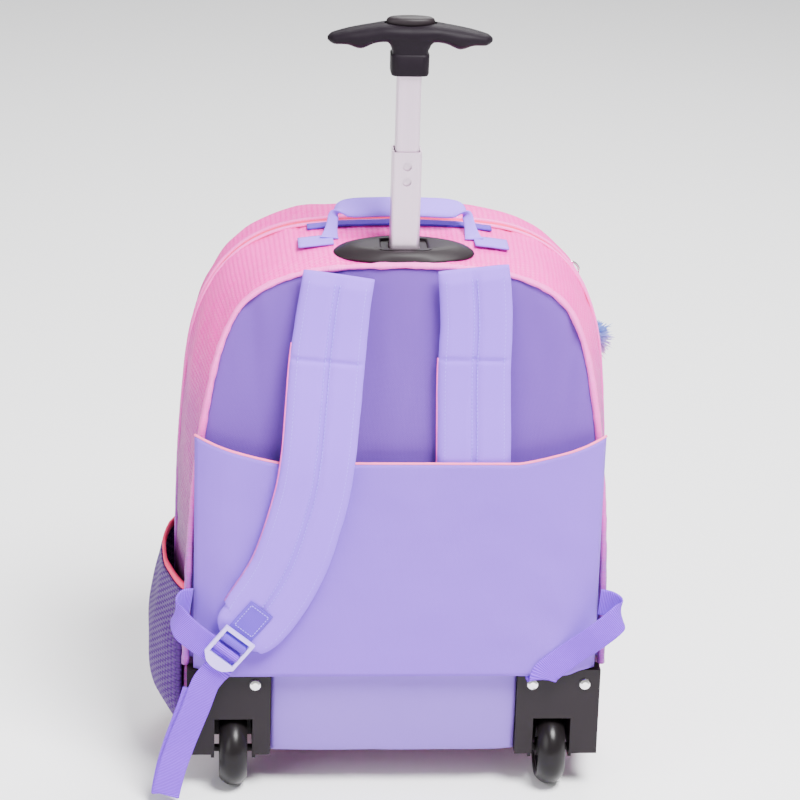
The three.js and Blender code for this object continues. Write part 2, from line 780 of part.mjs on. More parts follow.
// Right adjuster: from its seam round a loop, down the front of the pocket and up behind its hem
const rightRows = [
  { across: -0.023, out: 0, up: 0, lean: 0 },
  { across: 0.364, out: 0.182, up: 0, lean: 0 },
  { across: 0.591, out: 0.455, up: -0.091, lean: 0 },
  { across: 0.364, out: 0.773, up: -0.364, lean: 0.35 },
  { across: -0.273, out: 0.836, up: -0.909, lean: 0.62 },
  { across: -1.091, out: 0.75, up: -1.818, lean: 0.66 },
  { across: -1.682, out: 0.7, up: -2.5, lean: 0.6 },
];
const behindRows = [{ across: 0.18, up: 0.41 }, { across: 0.36, up: 0.95 }, { across: 0.73, up: 1.73 }];
const hemAside = 19.5;
const hemSag = 2.6;
const seamRightUp = 58;
const seamRight = vec(panelWidth / 2 - 1, coverSide - webThick - seat / 3, coverFoot + seamRightUp);

function rightWebbing() {
  const front = seamWebbing(seamRight, rightRows, 1.2);
  const hemX = bracketInner + hemAside;
  const outer = coverFace - webGap - webThick / 2;
  const inner = coverBack + webGap + webThick / 2;
  const under = steps(5).map((t) => ({
    at: vec(hemX - 3 * t, lerp(outer, inner, 0.5 - 0.5 * Math.cos(Math.PI * t)),
      coverFoot - seat - hemSag * Math.sin(Math.PI * t)),
    across: vec(1, 0, 0),
    width: webWidth * 1.25,
    thick: webThick,
  }));
  const behind = behindRows.map((row) => ({
    at: vec(hemX - row.across * webWidth, inner, coverFoot + row.up * webWidth),
    across: vec(1, 0, 0.3),
    width: webWidth,
    thick: webThick,
  }));
  front[front.length - 1].at.set(hemX + 4, outer, coverFoot + 6);
  front[front.length - 2].at.y = outer;
  return strip([...front, ...under, ...behind], flatSection);
}

// Mesh pocket: a bulging wall on the left flank, open along its mouth
const pocketRows = [
  { up: 0, out: 0.02 }, { up: 0.06, out: 0.5 }, { up: 0.16, out: 0.86 }, { up: 0.32, out: 1 },
  { up: 0.55, out: 0.93 }, { up: 0.78, out: 0.7 }, { up: 1, out: 0.46 },
];
const pocketColumns = steps(9);
const pocketSwell = (t) => Math.sin(Math.PI * t) ** 0.55;

function pocketPoint(t, row, lift) {
  const y = lerp(pocketBack, pocketFront, t);
  const z = lerp(pocketFoot, pocketTop, row.up);
  return vec(-flankAt(y, z) - pocketGap - lift - pocketBulge * row.out * pocketSwell(t), y, z);
}

function sidePocket() {
  const grid = (lift) => pocketRows.map((row) => pocketColumns.map((t) => pocketPoint(t, row, lift)));
  return slab(grid(pocketWall), grid(0));
}

function pocketEdge() {
  const mouth = pocketRows[pocketRows.length - 1];
  const stations = pocketColumns.map((t) => ({
    at: pocketPoint(t, mouth, pocketWall / 2).add(vec(0, 0, seat + pocketBinding / 2)),
    across: vec(0, 0, 1),
    width: pocketBinding,
    thick: pocketWall * 1.7,
  }));
  return strip(stations, flatSection);
}

// Carrying handle, its dark base webbing and the two tabs sewn beside it
const handleFoot = crownAt(handleWidth / 2, handleDepth) + seat + webThick + seat;
const handleRows = [
  { across: -1, up: 0, wide: 0.5, thick: 0.5 },
  { across: -0.97, up: 0.45, wide: 0.62, thick: 0.7 },
  { across: -0.8, up: 0.82, wide: 1, thick: 1 },
  { across: -0.4, up: 0.97, wide: 1, thick: 1 },
  { across: 0, up: 1, wide: 1, thick: 1 },
  { across: 0.4, up: 0.97, wide: 1, thick: 1 },
  { across: 0.8, up: 0.82, wide: 1, thick: 1 },
  { across: 0.97, up: 0.45, wide: 0.62, thick: 0.7 },
  { across: 1, up: 0, wide: 0.5, thick: 0.5 },
];

function grabHandle() {
  const stations = readTable(handleRows, 17).map((row) => ({
    at: vec((row.across * handleWidth) / 2, handleDepth, handleFoot + handleThick / 4 + row.up * handleRise),
    across: vec(0, 1, 0),
    width: row.wide * handleDeep,
    thick: row.thick * handleThick,
  }));
  return strip(stations, roundSection(8));
}

// Webbing lying on the crown between two depths
function crownWebbing(left, right, back, front) {
  const columns = steps(Math.max(4, Math.round((right - left) / 16))).map((t) => lerp(left, right, t));
  const grid = (lift) => [back, front].map((y) => columns.map((x) => (
    vec(x, y, Math.max(crownAt(x, back), crownAt(x, front)) + 2 * seat + lift)
  )));
  return slab(grid(0), grid(webThick));
}

// Trolley

function trolleyCollar() {
  const plate = new THREE.Shape();
  plate.absellipse(0, 0, collarWidth / 2, collarDeep / 2, 0, 2 * Math.PI);
  plate.holes.push(roundedShape(collarHole, neckHole, 3));
  const bevel = 1.2;
  const top = new THREE.ExtrudeGeometry(plate, {
    depth: collarThick - 2 * bevel,
    bevelThickness: bevel,
    bevelSize: bevel,
    bevelOffset: -bevel,
    bevelSegments: 1,
    curveSegments: 6,
  }).translate(0, trolleyDepth, collarFoot + bevel);
  const neck = roundedShape(neckHole + 2 * neckWall, neckHole + 2 * neckWall, 3);
  neck.holes.push(roundedShape(neckHole, neckHole, 2));
  const skirt = new THREE.ExtrudeGeometry(neck, {
    depth: skirtDrop + collarThick / 3, bevelEnabled: false, curveSegments: 2,
  }).translate(0, trolleyDepth, collarFoot - skirtDrop);
  return join(top, skirt);
}

function trolleySleeve() {
  const foot = bagFloor + clothWall + seat;
  const top = collarFoot - seat;
  const tube = squareTube(sleeveTube, foot, top);
  const lip = roundedShape(neckHole - 2 * seat, neckHole - 2 * seat, 2);
  lip.holes.push(roundedShape(sleeveTube - 2 * tubeWall, sleeveTube - 2 * tubeWall, 1.5));
  const flange = new THREE.ExtrudeGeometry(lip, {
    depth: 3, bevelEnabled: false, curveSegments: 2,
  }).translate(0, trolleyDepth, top - 8);
  return join(tube, flange);
}

// Grip: stations along X with shares of its width, its underside and top, and its depth
const gripHeight = 20;
const gripRows = [
  { across: 0.97, low: 0.25, high: 0.5, deep: 0.35 },
  { across: 0.9, low: 0.15, high: 0.6, deep: 0.65 },
  { across: 0.76, low: 0.12, high: 0.72, deep: 0.8 },
  { across: 0.6, low: 0, high: 0.83, deep: 0.88 },
  { across: 0.44, low: 0.13, high: 0.91, deep: 0.92 },
  { across: 0.28, low: 0.2, high: 0.98, deep: 1 },
  { across: 0, low: 0.22, high: 1, deep: 1 },
];

function gripBar() {
  const half = [...gripRows.map((row) => ({ ...row, side: -1 })), ...gripRows.slice(0, -1).reverse()];
  const section = roundSection(10);
  return loft(half.map((row) => {
    const x = ((row.side ?? 1) * row.across * gripWidth) / 2;
    const low = gripTop - gripHeight + row.low * gripHeight;
    const high = gripTop - gripHeight + row.high * gripHeight;
    return section.map(([u, v]) => vec(
      x,
      trolleyDepth + (u * row.deep * gripDeep) / 2,
      (low + high) / 2 + (v * (high - low)) / 2 / Math.cos(Math.PI / 10),
    ));
  }));
}

const buttonSeat = gripTop - 6;
const buttonFoot = buttonSeat + buttonTravel + seat;

function trolleyGrip() {
  const tubeTop = neckFoot + 6;
  const neckShape = roundedShape(neckWidth, neckDeep, 6);
  const neck = new THREE.ExtrudeGeometry(neckShape, {
    depth: gripTop - 8 - neckFoot, bevelEnabled: false, curveSegments: 2,
  }).translate(0, trolleyDepth, neckFoot);
  const socket = new THREE.ExtrudeGeometry(roundedShape(upperTube + 2 * seat, upperTube + 2 * seat, 3), {
    depth: tubeTop + seat - neckFoot + 2, bevelEnabled: false, curveSegments: 3,
  }).translate(0, trolleyDepth, neckFoot - 2);
  const recess = new THREE.CylinderGeometry(1, 1, 12, 20).rotateX(Math.PI / 2)
    .scale(buttonLength / 2 + seat, buttonWidth / 2 + seat, 1).translate(0, trolleyDepth, buttonSeat + 6);
  const rib = block(
    vec(-1.2, trolleyDepth - neckDeep / 2 - 1, neckFoot + 3),
    vec(1.2, trolleyDepth - neckDeep / 2 + 1, neckFoot + 17),
  );
  return cut(join(gripBar(), neck, rib), socket, recess);
}

function gripButton() {
  const height = gripTop + 4 - buttonFoot;
  const button = new THREE.CylinderGeometry(0.88, 1, height, 20).rotateX(Math.PI / 2);
  return button.scale(buttonLength / 2 - seat, buttonWidth / 2 - seat, 1)
    .translate(0, trolleyDepth, buttonFoot + height / 2);
}

function lowerStage() {
  const tube = squareTube(lowerTube, lowerTubeTop - lowerTubeLength, lowerTubeTop);
  const holes = [11, 23].map((down) => new THREE.CylinderGeometry(3.4, 3.4, 4, 12)
    .translate(0, trolleyDepth - lowerTube / 2, lowerTubeTop - down));
  return cut(tube, ...holes);
}

// Wheels and their brackets

// Corner bracket: a hollow cap on the back wall, with a wheel box behind it whose cheeks hold the axle
function wheelBracket(side) {
  const x = (from, to) => (side < 0 ? [-to, -from] : [from, to]);
  const boxOf = (from, to, y0, y1, z0, z1) => {
    const [low, high] = x(from, to);
    return block(vec(low, y0, z0), vec(high, y1, z1));
  };
  const middle = wheelTrack / 2;
  const back = bagBack - seat;
  const cap = boxOf(bracketInner, bracketOuter, bracketFace, back, bagFloor, bracketTop);
  const wall = bracketWall;
  const capHollow = boxOf(bracketInner + wall, bracketOuter - wall, bracketFace + wall, back + 1,
    bagFloor + wall, bracketTop - wall);
  const cheek = wellHalf + wall;
  const outer = boxOf(middle - cheek, middle + cheek, bracketFace + 0.5, wellBack + wall,
    bagFloor - cheekDrop, wellTop + wall);
  const well = boxOf(middle - wellHalf, middle + wellHalf, bracketFace - 1, wellBack, 0, wellTop);
  const past = cheek + wall;
  const trimmed = boxOf(middle - past, middle + past, wheelY + cheekReach, wellBack + 2 * wall, 0, bagFloor);
  const trimFront = boxOf(middle - past, middle + past, bracketFace - 1, wheelY - cheekReach, 0, bagFloor);
  const [boreLow, boreHigh] = x(middle - wellHalf - wall - 1, middle + wellHalf + wall + 1);
  const bore = crossRod(axleRadius + seat, boreLow, boreHigh, wheelY, axleUp);
  const shell = cut(cap, capHollow);
  return cut(join(shell, outer), well, trimmed, trimFront, bore);
}

function bracketRivet(side, place) {
  const profile = [[0, 0], [1, 0], [0.86, 0.3], [0.5, 0.5], [0, 0.58]];
  const dome = new THREE.LatheGeometry(
    profile.map(([r, h]) => new THREE.Vector2(r * rivetRadius, h * rivetRadius * 0.8)), 10,
  );
  return dome.rotateX(Math.PI).translate(side * place.across, bracketFace - seat, place.up);
}

function wheelAxle(side) {
  const middle = (side * wheelTrack) / 2;
  const reach = wellHalf + bracketWall;
  return crossRod(axleRadius, middle - reach, middle + reach, wheelY, axleUp);
}

// Round-treaded tyre as a closed ring about the axle
function tyre(side) {
  const profile = [
    [hubRadius, -0.42], [hubRadius + 3, -0.5], [0.87 * wheelRadius, -0.5], [0.96 * wheelRadius, -0.33],
    [wheelRadius, -0.1], [wheelRadius, 0.1], [0.96 * wheelRadius, 0.33], [0.87 * wheelRadius, 0.5],
    [hubRadius + 3, 0.5], [hubRadius, 0.42], [hubRadius, -0.42],
  ].map(([r, w]) => new THREE.Vector2(r, w * wheelWidth));
  const ring = new THREE.LatheGeometry(profile, 24);
  return ring.rotateZ(Math.PI / 2).translate((side * wheelTrack) / 2, wheelY, axleUp);
}

function hub(side) {
  const bore = (axleRadius + 0.1) / Math.cos(Math.PI / 16) + 0.1;
  const profile = [
    [bore, -0.5], [7, -0.5], [8, -0.3], [hubRadius - 3, -0.3], [hubRadius - 2, -0.42], [hubRadius - seat, -0.42],
    [hubRadius - seat, 0.42], [hubRadius - 2, 0.42], [hubRadius - 3, 0.3], [8, 0.3], [7, 0.5], [bore, 0.5],
    [bore, -0.5],
  ].map(([r, w]) => new THREE.Vector2(r, w * wheelWidth));
  const disc = new THREE.LatheGeometry(profile, 16);
  return disc.rotateZ(Math.PI / 2).translate((side * wheelTrack) / 2, wheelY, axleUp);
}

// Small things

function frontFoot(side) {
  const middle = side * footAcross;
  const ring = (grow, z) => [[-1, -1], [1, -1], [1, 1], [-1, 1]].map(([u, v]) => (
    vec(middle + (u * footWidth * grow) / 2, bagFront - footSetback + (v * footDeep * grow) / 2, z)
  ));
  return loft([ring(0.8, 0), ring(0.9, 4), ring(1, bagFloor - seat)]);
}

const ringReach = ringRadius + ringWire;
const ringSeat = ringReach + 2 * seat;
const ringAcross = Math.max(...steps(25).map((t) => {
  const rise = lerp(-ringSeat, ringSeat, t);
  return flankAt(charmDepth, ringUp + rise) + Math.sqrt(ringSeat ** 2 - rise ** 2);
}));
const ringMiddle = vec(ringAcross, charmDepth, ringUp);

function keyRing() {
  const turns = 20;
  const stations = Array.from({ length: turns }, (_, k) => {
    const angle = (2 * Math.PI * k) / turns;
    return {
      at: ringMiddle.clone().add(vec(ringRadius * Math.cos(angle), 0, ringRadius * Math.sin(angle))),
      across: vec(0, 1, 0),
      width: 2 * ringWire,
      thick: 2 * ringWire,
    };
  });
  return strip(stations, roundSection(6), true);
}

// Pompom: locks fused to a round head that hangs from the ring by a short loop of cord
function pompom() {
  const middle = vec(bagWidth / 2 - pompomInset, bagFront + pompomAhead, ringUp - pompomDrop);
  const head = new THREE.IcosahedronGeometry(0.72 * pompomRadius, 1).translate(middle.x, middle.y, middle.z);
  const locks = [];
  const count = 34;
  for (let k = 0; k < count; k += 1) {
    const z = 1 - (2 * (k + 0.5)) / count;
    const around = k * Math.PI * (3 - Math.sqrt(5));
    const out = vec(Math.sqrt(1 - z * z) * Math.cos(around), Math.sqrt(1 - z * z) * Math.sin(around), z);
    const lock = new THREE.ConeGeometry(0.3 * pompomRadius, 0.5 * pompomRadius, 5);
    const turn = new THREE.Quaternion().setFromUnitVectors(vec(0, 1, 0), out);
    lock.applyQuaternion(turn);
    const place = middle.clone().addScaledVector(out, 0.7 * pompomRadius);
    locks.push(lock.translate(place.x, place.y, place.z));
  }
  const cordTop = ringMiddle.clone().add(vec(0, 0, -ringRadius - ringWire - seat));
  const cord = [cordTop, cordTop.clone().lerp(middle, 0.35), middle].map((at) => ({
    at, across: vec(1, 0, 0), width: 2.4, thick: 2.4,
  }));
  return join(head, ...locks, strip(cord, roundSection(6)));
}

// The assembly

const object = new THREE.Group();

function add(name, geometry, finish) {
  geometry.computeVertexNormals();
  const mesh = new THREE.Mesh(geometry, new THREE.MeshStandardMaterial(finishes[finish]));
  mesh.name = name;
  object.add(mesh);
}

add('rear_shell', rearShell(), 'shinyPink');
add('front_shell', frontShell(), 'shinyPink');
add('zip_tape', zipTape(), 'coral');
add('back_panel', backPanel(), 'lavender');
add('back_piping', backPiping(), 'satin');
add('front_piping', frontPiping(), 'satin');
add('bottom_panel', bottomPanel(), 'paleLavender');
add('stow_cover', stowCover(), 'paleLavender');
add('cover_binding', coverEdge(), 'coral');
add('strap_left', leftStrap(), 'paleLavender');
add('strap_right', rightStrap(), 'paleLavender');
add('strap_patch', strapPatch(), 'webbing');
add('strap_buckle', strapBuckle(), 'lilacPlastic');
add('web_left', leftWebbing(), 'webbing');
add('web_right', rightWebbing(), 'webbing');
add('side_pocket', sidePocket(), 'mesh');
add('pocket_binding', pocketEdge(), 'coral');
add('grab_handle', grabHandle(), 'paleLavender');
const handleEnd = handleWidth / 2;
const [tabBack, tabFront] = [tabDepth - webWidth / 2, tabDepth + webWidth / 2];
const handleBase = handleBaseWidth / 2;
add('handle_base', crownWebbing(-handleBase, handleBase, handleDepth + tabGap, zipBack - 1), 'webbing');
add('tab_left', crownWebbing(-handleEnd - tabWidth, -handleEnd, tabBack, tabFront), 'webbing');
add('tab_right', crownWebbing(handleEnd + tabGap, handleEnd + tabGap + tabWidth, tabBack, tabFront), 'webbing');
add('collar', trolleyCollar(), 'blackPlastic');
add('tube_sleeve', trolleySleeve(), 'aluminium');
add('lower_tube', lowerStage(), 'aluminium');
add('upper_tube', squareTube(upperTube, neckFoot + 6 - upperTubeLength, neckFoot + 6), 'aluminium');
add('grip', trolleyGrip(), 'blackPlastic');
add('grip_button', gripButton(), 'blackPlastic');
add('key_ring', keyRing(), 'chrome');
add('pompom', pompom(), 'fur');

const rivetPlaces = [
  { name: 'inner', across: bracketInner + rivetInset, up: bracketTop - rivetInset },
  { name: 'outer', across: bracketOuter - rivetInset, up: bracketTop - rivetInset },
];
for (const [side, word] of [[-1, 'left'], [1, 'right']]) {
  add(`bracket_${word}`, wheelBracket(side), 'blackPlastic');
  for (const place of rivetPlaces) add(`rivet_${place.name}_${word}`, bracketRivet(side, place), 'chrome');
  add(`wheel_axle_${word}`, wheelAxle(side), 'chrome');
  add(`tyre_${word}`, tyre(side), 'tyreBlack');
  add(`hub_${word}`, hub(side), 'tyreBlack');
  add(`foot_${word}`, frontFoot(side), 'blackPlastic');
}

// The origin is under the middle of the whole object, on the ground
const bounds = new THREE.Box3().setFromObject(object, true);
const centre = bounds.getCenter(vec(0, 0, 0));
object.position.set(-centre.x, -centre.y, -bounds.min.z);
object.updateMatrixWorld(true);

export default object;
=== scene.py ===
"""Looks of a child's wheeled school backpack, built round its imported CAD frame.

Sizes inside the classes are millimetres in the bag's own frame: X = 0 on its centreline, Y = 0 amidships,
Z = 0 on the ground. Meshes are made in metres, shifted into the frame's place.
"""

import logging
import math
from dataclasses import dataclass, field
from enum import Enum
from typing import Sequence

import bmesh
import bpy
import numpy as np
from mathutils import Matrix, Vector, noise


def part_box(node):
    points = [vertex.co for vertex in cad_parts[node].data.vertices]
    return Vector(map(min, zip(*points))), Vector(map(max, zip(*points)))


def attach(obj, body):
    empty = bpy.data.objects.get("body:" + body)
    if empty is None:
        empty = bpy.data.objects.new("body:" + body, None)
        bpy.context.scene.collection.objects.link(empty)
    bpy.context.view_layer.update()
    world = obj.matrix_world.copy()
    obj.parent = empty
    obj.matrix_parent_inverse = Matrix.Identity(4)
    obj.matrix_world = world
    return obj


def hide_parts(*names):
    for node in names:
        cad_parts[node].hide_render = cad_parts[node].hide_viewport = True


LOG = logging.getLogger("backpack")
MM = 0.001
AXLE_BACK = 82.0
Point = Sequence[float]
Rows = Sequence[Sequence[float]]

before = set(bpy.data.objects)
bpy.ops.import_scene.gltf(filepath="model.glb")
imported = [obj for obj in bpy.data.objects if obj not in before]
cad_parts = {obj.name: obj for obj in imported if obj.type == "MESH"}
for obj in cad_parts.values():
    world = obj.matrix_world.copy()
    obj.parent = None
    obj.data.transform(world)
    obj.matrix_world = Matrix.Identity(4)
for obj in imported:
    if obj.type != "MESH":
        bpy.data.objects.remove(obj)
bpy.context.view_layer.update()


class Place:
    """Shift from the bag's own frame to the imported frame, read from the wheels and their axle."""

    def __init__(self) -> None:
        """Reads the shift from the two tyres, which stand either side of the centreline."""
        left_low, left_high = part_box("tyre_left")
        right_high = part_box("tyre_right")[1]
        self.across = (left_low[0] + right_high[0]) / 2
        self.depth = (left_low[1] + left_high[1]) / 2 + AXLE_BACK * MM

    def metres(self, points: np.ndarray) -> np.ndarray:
        """Points of the bag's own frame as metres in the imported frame.

        Args:
            points: any array whose last axis is x, y, z in millimetres.

        Returns:
            The same array in metres, shifted.
        """
        return np.asarray(points, float) * MM + np.array([self.across, self.depth, 0.0])

    def point(self, x: float, y: float, z: float) -> Vector:
        """One point of the bag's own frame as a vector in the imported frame."""
        return Vector(self.metres(np.array([x, y, z])).tolist())


PLACE = Place()


def smooth(rows: Rows, count: int) -> np.ndarray:
    """Reads a table at even steps on a smooth curve through its rows.

    Args:
        rows: the table, one row of numbers for each section.
        count: how many rows to return.

    Returns:
        An array of count rows.
    """
    table = np.asarray(rows, float)
    last = len(table) - 1
    place = np.linspace(0, last, count)
    first = np.minimum(place.astype(int), last - 1)
    t = (place - first)[:, None]
    a, b, c, d = (table[np.clip(first + k, 0, last)] for k in (-1, 0, 1, 2))
    return b + 0.5 * t * (c - a + t * (2 * a - 5 * b + 4 * c - d + t * (3 * (b - c) + d - a)))


def step(low: float, high: float, value: np.ndarray | float) -> np.ndarray | float:
    """Smooth rise from 0 at low to 1 at high."""
    t = np.clip((value - low) / (high - low), 0.0, 1.0)
    return t * t * (3 - 2 * t)


def ripple(x: float, y: float, z: float, size: float, seed: float = 0.0) -> float:
    """Soft random value from -1 to 1 that changes over a length of size millimetres."""
    return noise.noise(Vector((x / size + seed, y / size - seed, z / size + 2 * seed)))


def piece(
    name: str,
    points: np.ndarray,
    faces: Sequence[Sequence[int]],
    uvs: np.ndarray | None = None,
    body: str = "bag",
    slot: str | None = None,
    replaces: Sequence[str] = (),
) -> bpy.types.Object:
    """Makes one smooth-shaded mesh piece that rides on a body.

    Args:
        name: the piece's name.
        points: n by 3 array in millimetres of the bag's frame.
        faces: lists of point numbers.
        uvs: n by 2 array in metres along the cloth, or None.
        body: the body that carries it.
        slot: not used.
        replaces: CAD nodes that it stands for.

    Returns:
        The new object.
    """
    mesh = bpy.data.meshes.new(name)
    mesh.from_pydata(PLACE.metres(points).tolist(), [], [list(face) for face in faces])
    if uvs is not None:
        layer = mesh.uv_layers.new(name="cloth")
        corners = np.empty(len(mesh.loops), np.int32)
        mesh.loops.foreach_get("vertex_index", corners)
        layer.data.foreach_set("uv", np.asarray(uvs, float)[corners].ravel())
    mesh.polygons.foreach_set("use_smooth", [True] * len(mesh.polygons))
    mesh.update()
    thing = bpy.data.objects.new(name, mesh)
    bpy.context.scene.collection.objects.link(thing)
    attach(thing, body)
    if replaces:
        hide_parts(*replaces)
    return thing


def lengths(grid: np.ndarray) -> tuple[np.ndarray, np.ndarray]:
    """Lengths along a grid's columns and rows, as cloth coordinates in metres.

    Args:
        grid: rows by columns by 3 array in millimetres.

    Returns:
        Two arrays of rows by columns: across and along.
    """
    across = np.zeros(grid.shape[:2])
    along = np.zeros(grid.shape[:2])
    across[:, 1:] = np.cumsum(np.linalg.norm(np.diff(grid, axis=1), axis=2), axis=1)
    along[1:, :] = np.cumsum(np.linalg.norm(np.diff(grid, axis=0), axis=2), axis=0)
    across = np.broadcast_to(across.mean(axis=0)[None, :], across.shape)
    along = np.broadcast_to(along.mean(axis=1)[:, None], along.shape)
    return across * MM, along * MM


def distances(path: np.ndarray) -> np.ndarray:
    """Length along a path up to each of its points."""
    return np.concatenate([[0], np.cumsum(np.linalg.norm(np.diff(path, axis=0), axis=1))])


def grid_faces(rows: int, columns: int, looped: bool = False, first: int = 0) -> list[tuple[int, ...]]:
    """Quads of a grid of points.

    Args:
        rows: rows of points.
        columns: columns of points.
        looped: whether the last column meets the first.
        first: number of the grid's first point.

    Returns:
        The quads.
    """
    spans = columns if looped else columns - 1
    return [
        (
            first + i * columns + j,
            first + i * columns + (j + 1) % columns,
            first + (i + 1) * columns + (j + 1) % columns,
            first + (i + 1) * columns + j,
        )
        for i in range(rows - 1)
        for j in range(spans)
    ]


def sheet(name: str, grid: np.ndarray, wall: float, **facts: object) -> bpy.types.Object:
    """A sheet of cloth from a grid of points on its outer side, thickened away from the viewer of that side.

    Args:
        name: the piece's name.
        grid: rows by columns by 3 array.
        wall: thickness in millimetres, negative to thicken the other way.
        facts: what piece() takes as well.

    Returns:
        The new object.
    """
    rows, columns = grid.shape[:2]
    across, along = lengths(grid)
    uvs = np.stack([across, along], axis=2).reshape(-1, 2)
    thing = piece(name, grid.reshape(-1, 3), grid_faces(rows, columns), uvs, **facts)
    thick = thing.modifiers.new("wall", "SOLIDIFY")
    thick.thickness = wall * MM
    thick.offset = -1
    return thing


def strip(
    name: str,
    path: np.ndarray,
    across: np.ndarray,
    widths: np.ndarray,
    thicks: np.ndarray,
    section: np.ndarray,
    **facts: object,
) -> bpy.types.Object:
    """A strip swept along a path with a closed section, capped at both ends.

    Args:
        name: the piece's name.
        path: n by 3 array of middles.
        across: n by 3 array of width directions.
        widths: n widths.
        thicks: n thicknesses.
        section: m by 2 array of shares of half width and half thickness.
        facts: what piece() takes as well.

    Returns:
        The new object.
    """
    along = np.gradient(path, axis=0)
    along /= np.linalg.norm(along, axis=1)[:, None]
    side = across - along * np.sum(across * along, axis=1)[:, None]
    side /= np.linalg.norm(side, axis=1)[:, None]
    out = np.cross(side, along)
    rings = (
        path[:, None, :]
        + side[:, None, :] * (section[None, :, :1] * widths[:, None, None] / 2)
        + out[:, None, :] * (section[None, :, 1:] * thicks[:, None, None] / 2)
    )
    count, size = rings.shape[:2]
    run = distances(path)
    u = (section[None, :, 0] * widths[:, None] / 2) * MM
    v = np.repeat(run[:, None], size, axis=1) * MM
    uvs = np.stack([u, v], axis=2).reshape(-1, 2)
    faces = grid_faces(count, size, looped=True)
    faces.append(tuple(range(size))[::-1])
    faces.append(tuple(range((count - 1) * size, count * size)))
    thing = piece(name, rings.reshape(-1, 3), faces, uvs, **facts)
    mend_normals(thing)
    return thing


def mend_normals(thing: bpy.types.Object) -> None:
    """Turns a closed mesh's faces so that they all point out.

    Args:
        thing: the piece.
    """
    work = bmesh.new()
    work.from_mesh(thing.data)
    bmesh.ops.recalc_face_normals(work, faces=work.faces)
    work.to_mesh(thing.data)
    work.free()


def tube_section(sides: int) -> np.ndarray:
    """Round section with a number of sides."""
    angle = np.linspace(0, 2 * math.pi, sides, endpoint=False)
    return np.stack([np.cos(angle), np.sin(angle)], axis=1)


def pad_section(columns: int, edge: float = 0.3, seam: float = 0.0) -> np.ndarray:
    """Section of a padded strap with soft edges and a shallow quilting seam along its middle.

    Args:
        columns: points along each side.
        edge: share of the half width that rounds off.
        seam: depth of the seam as a share of the half thickness.

    Returns:
        The section's points.
    """
    u = -np.cos(np.linspace(0, math.pi, columns))
    body = np.clip((1 - np.abs(u)) / edge, 0, 1)
    high = np.sqrt(1 - (1 - body) ** 2) * 0.94 + 0.06
    groove = seam * np.exp(-((u / 0.05) ** 2))
    top = np.stack([u, -(high - groove)], axis=1)
    low = np.stack([u[::-1], high[::-1]], axis=1)
    return np.concatenate([top, low])


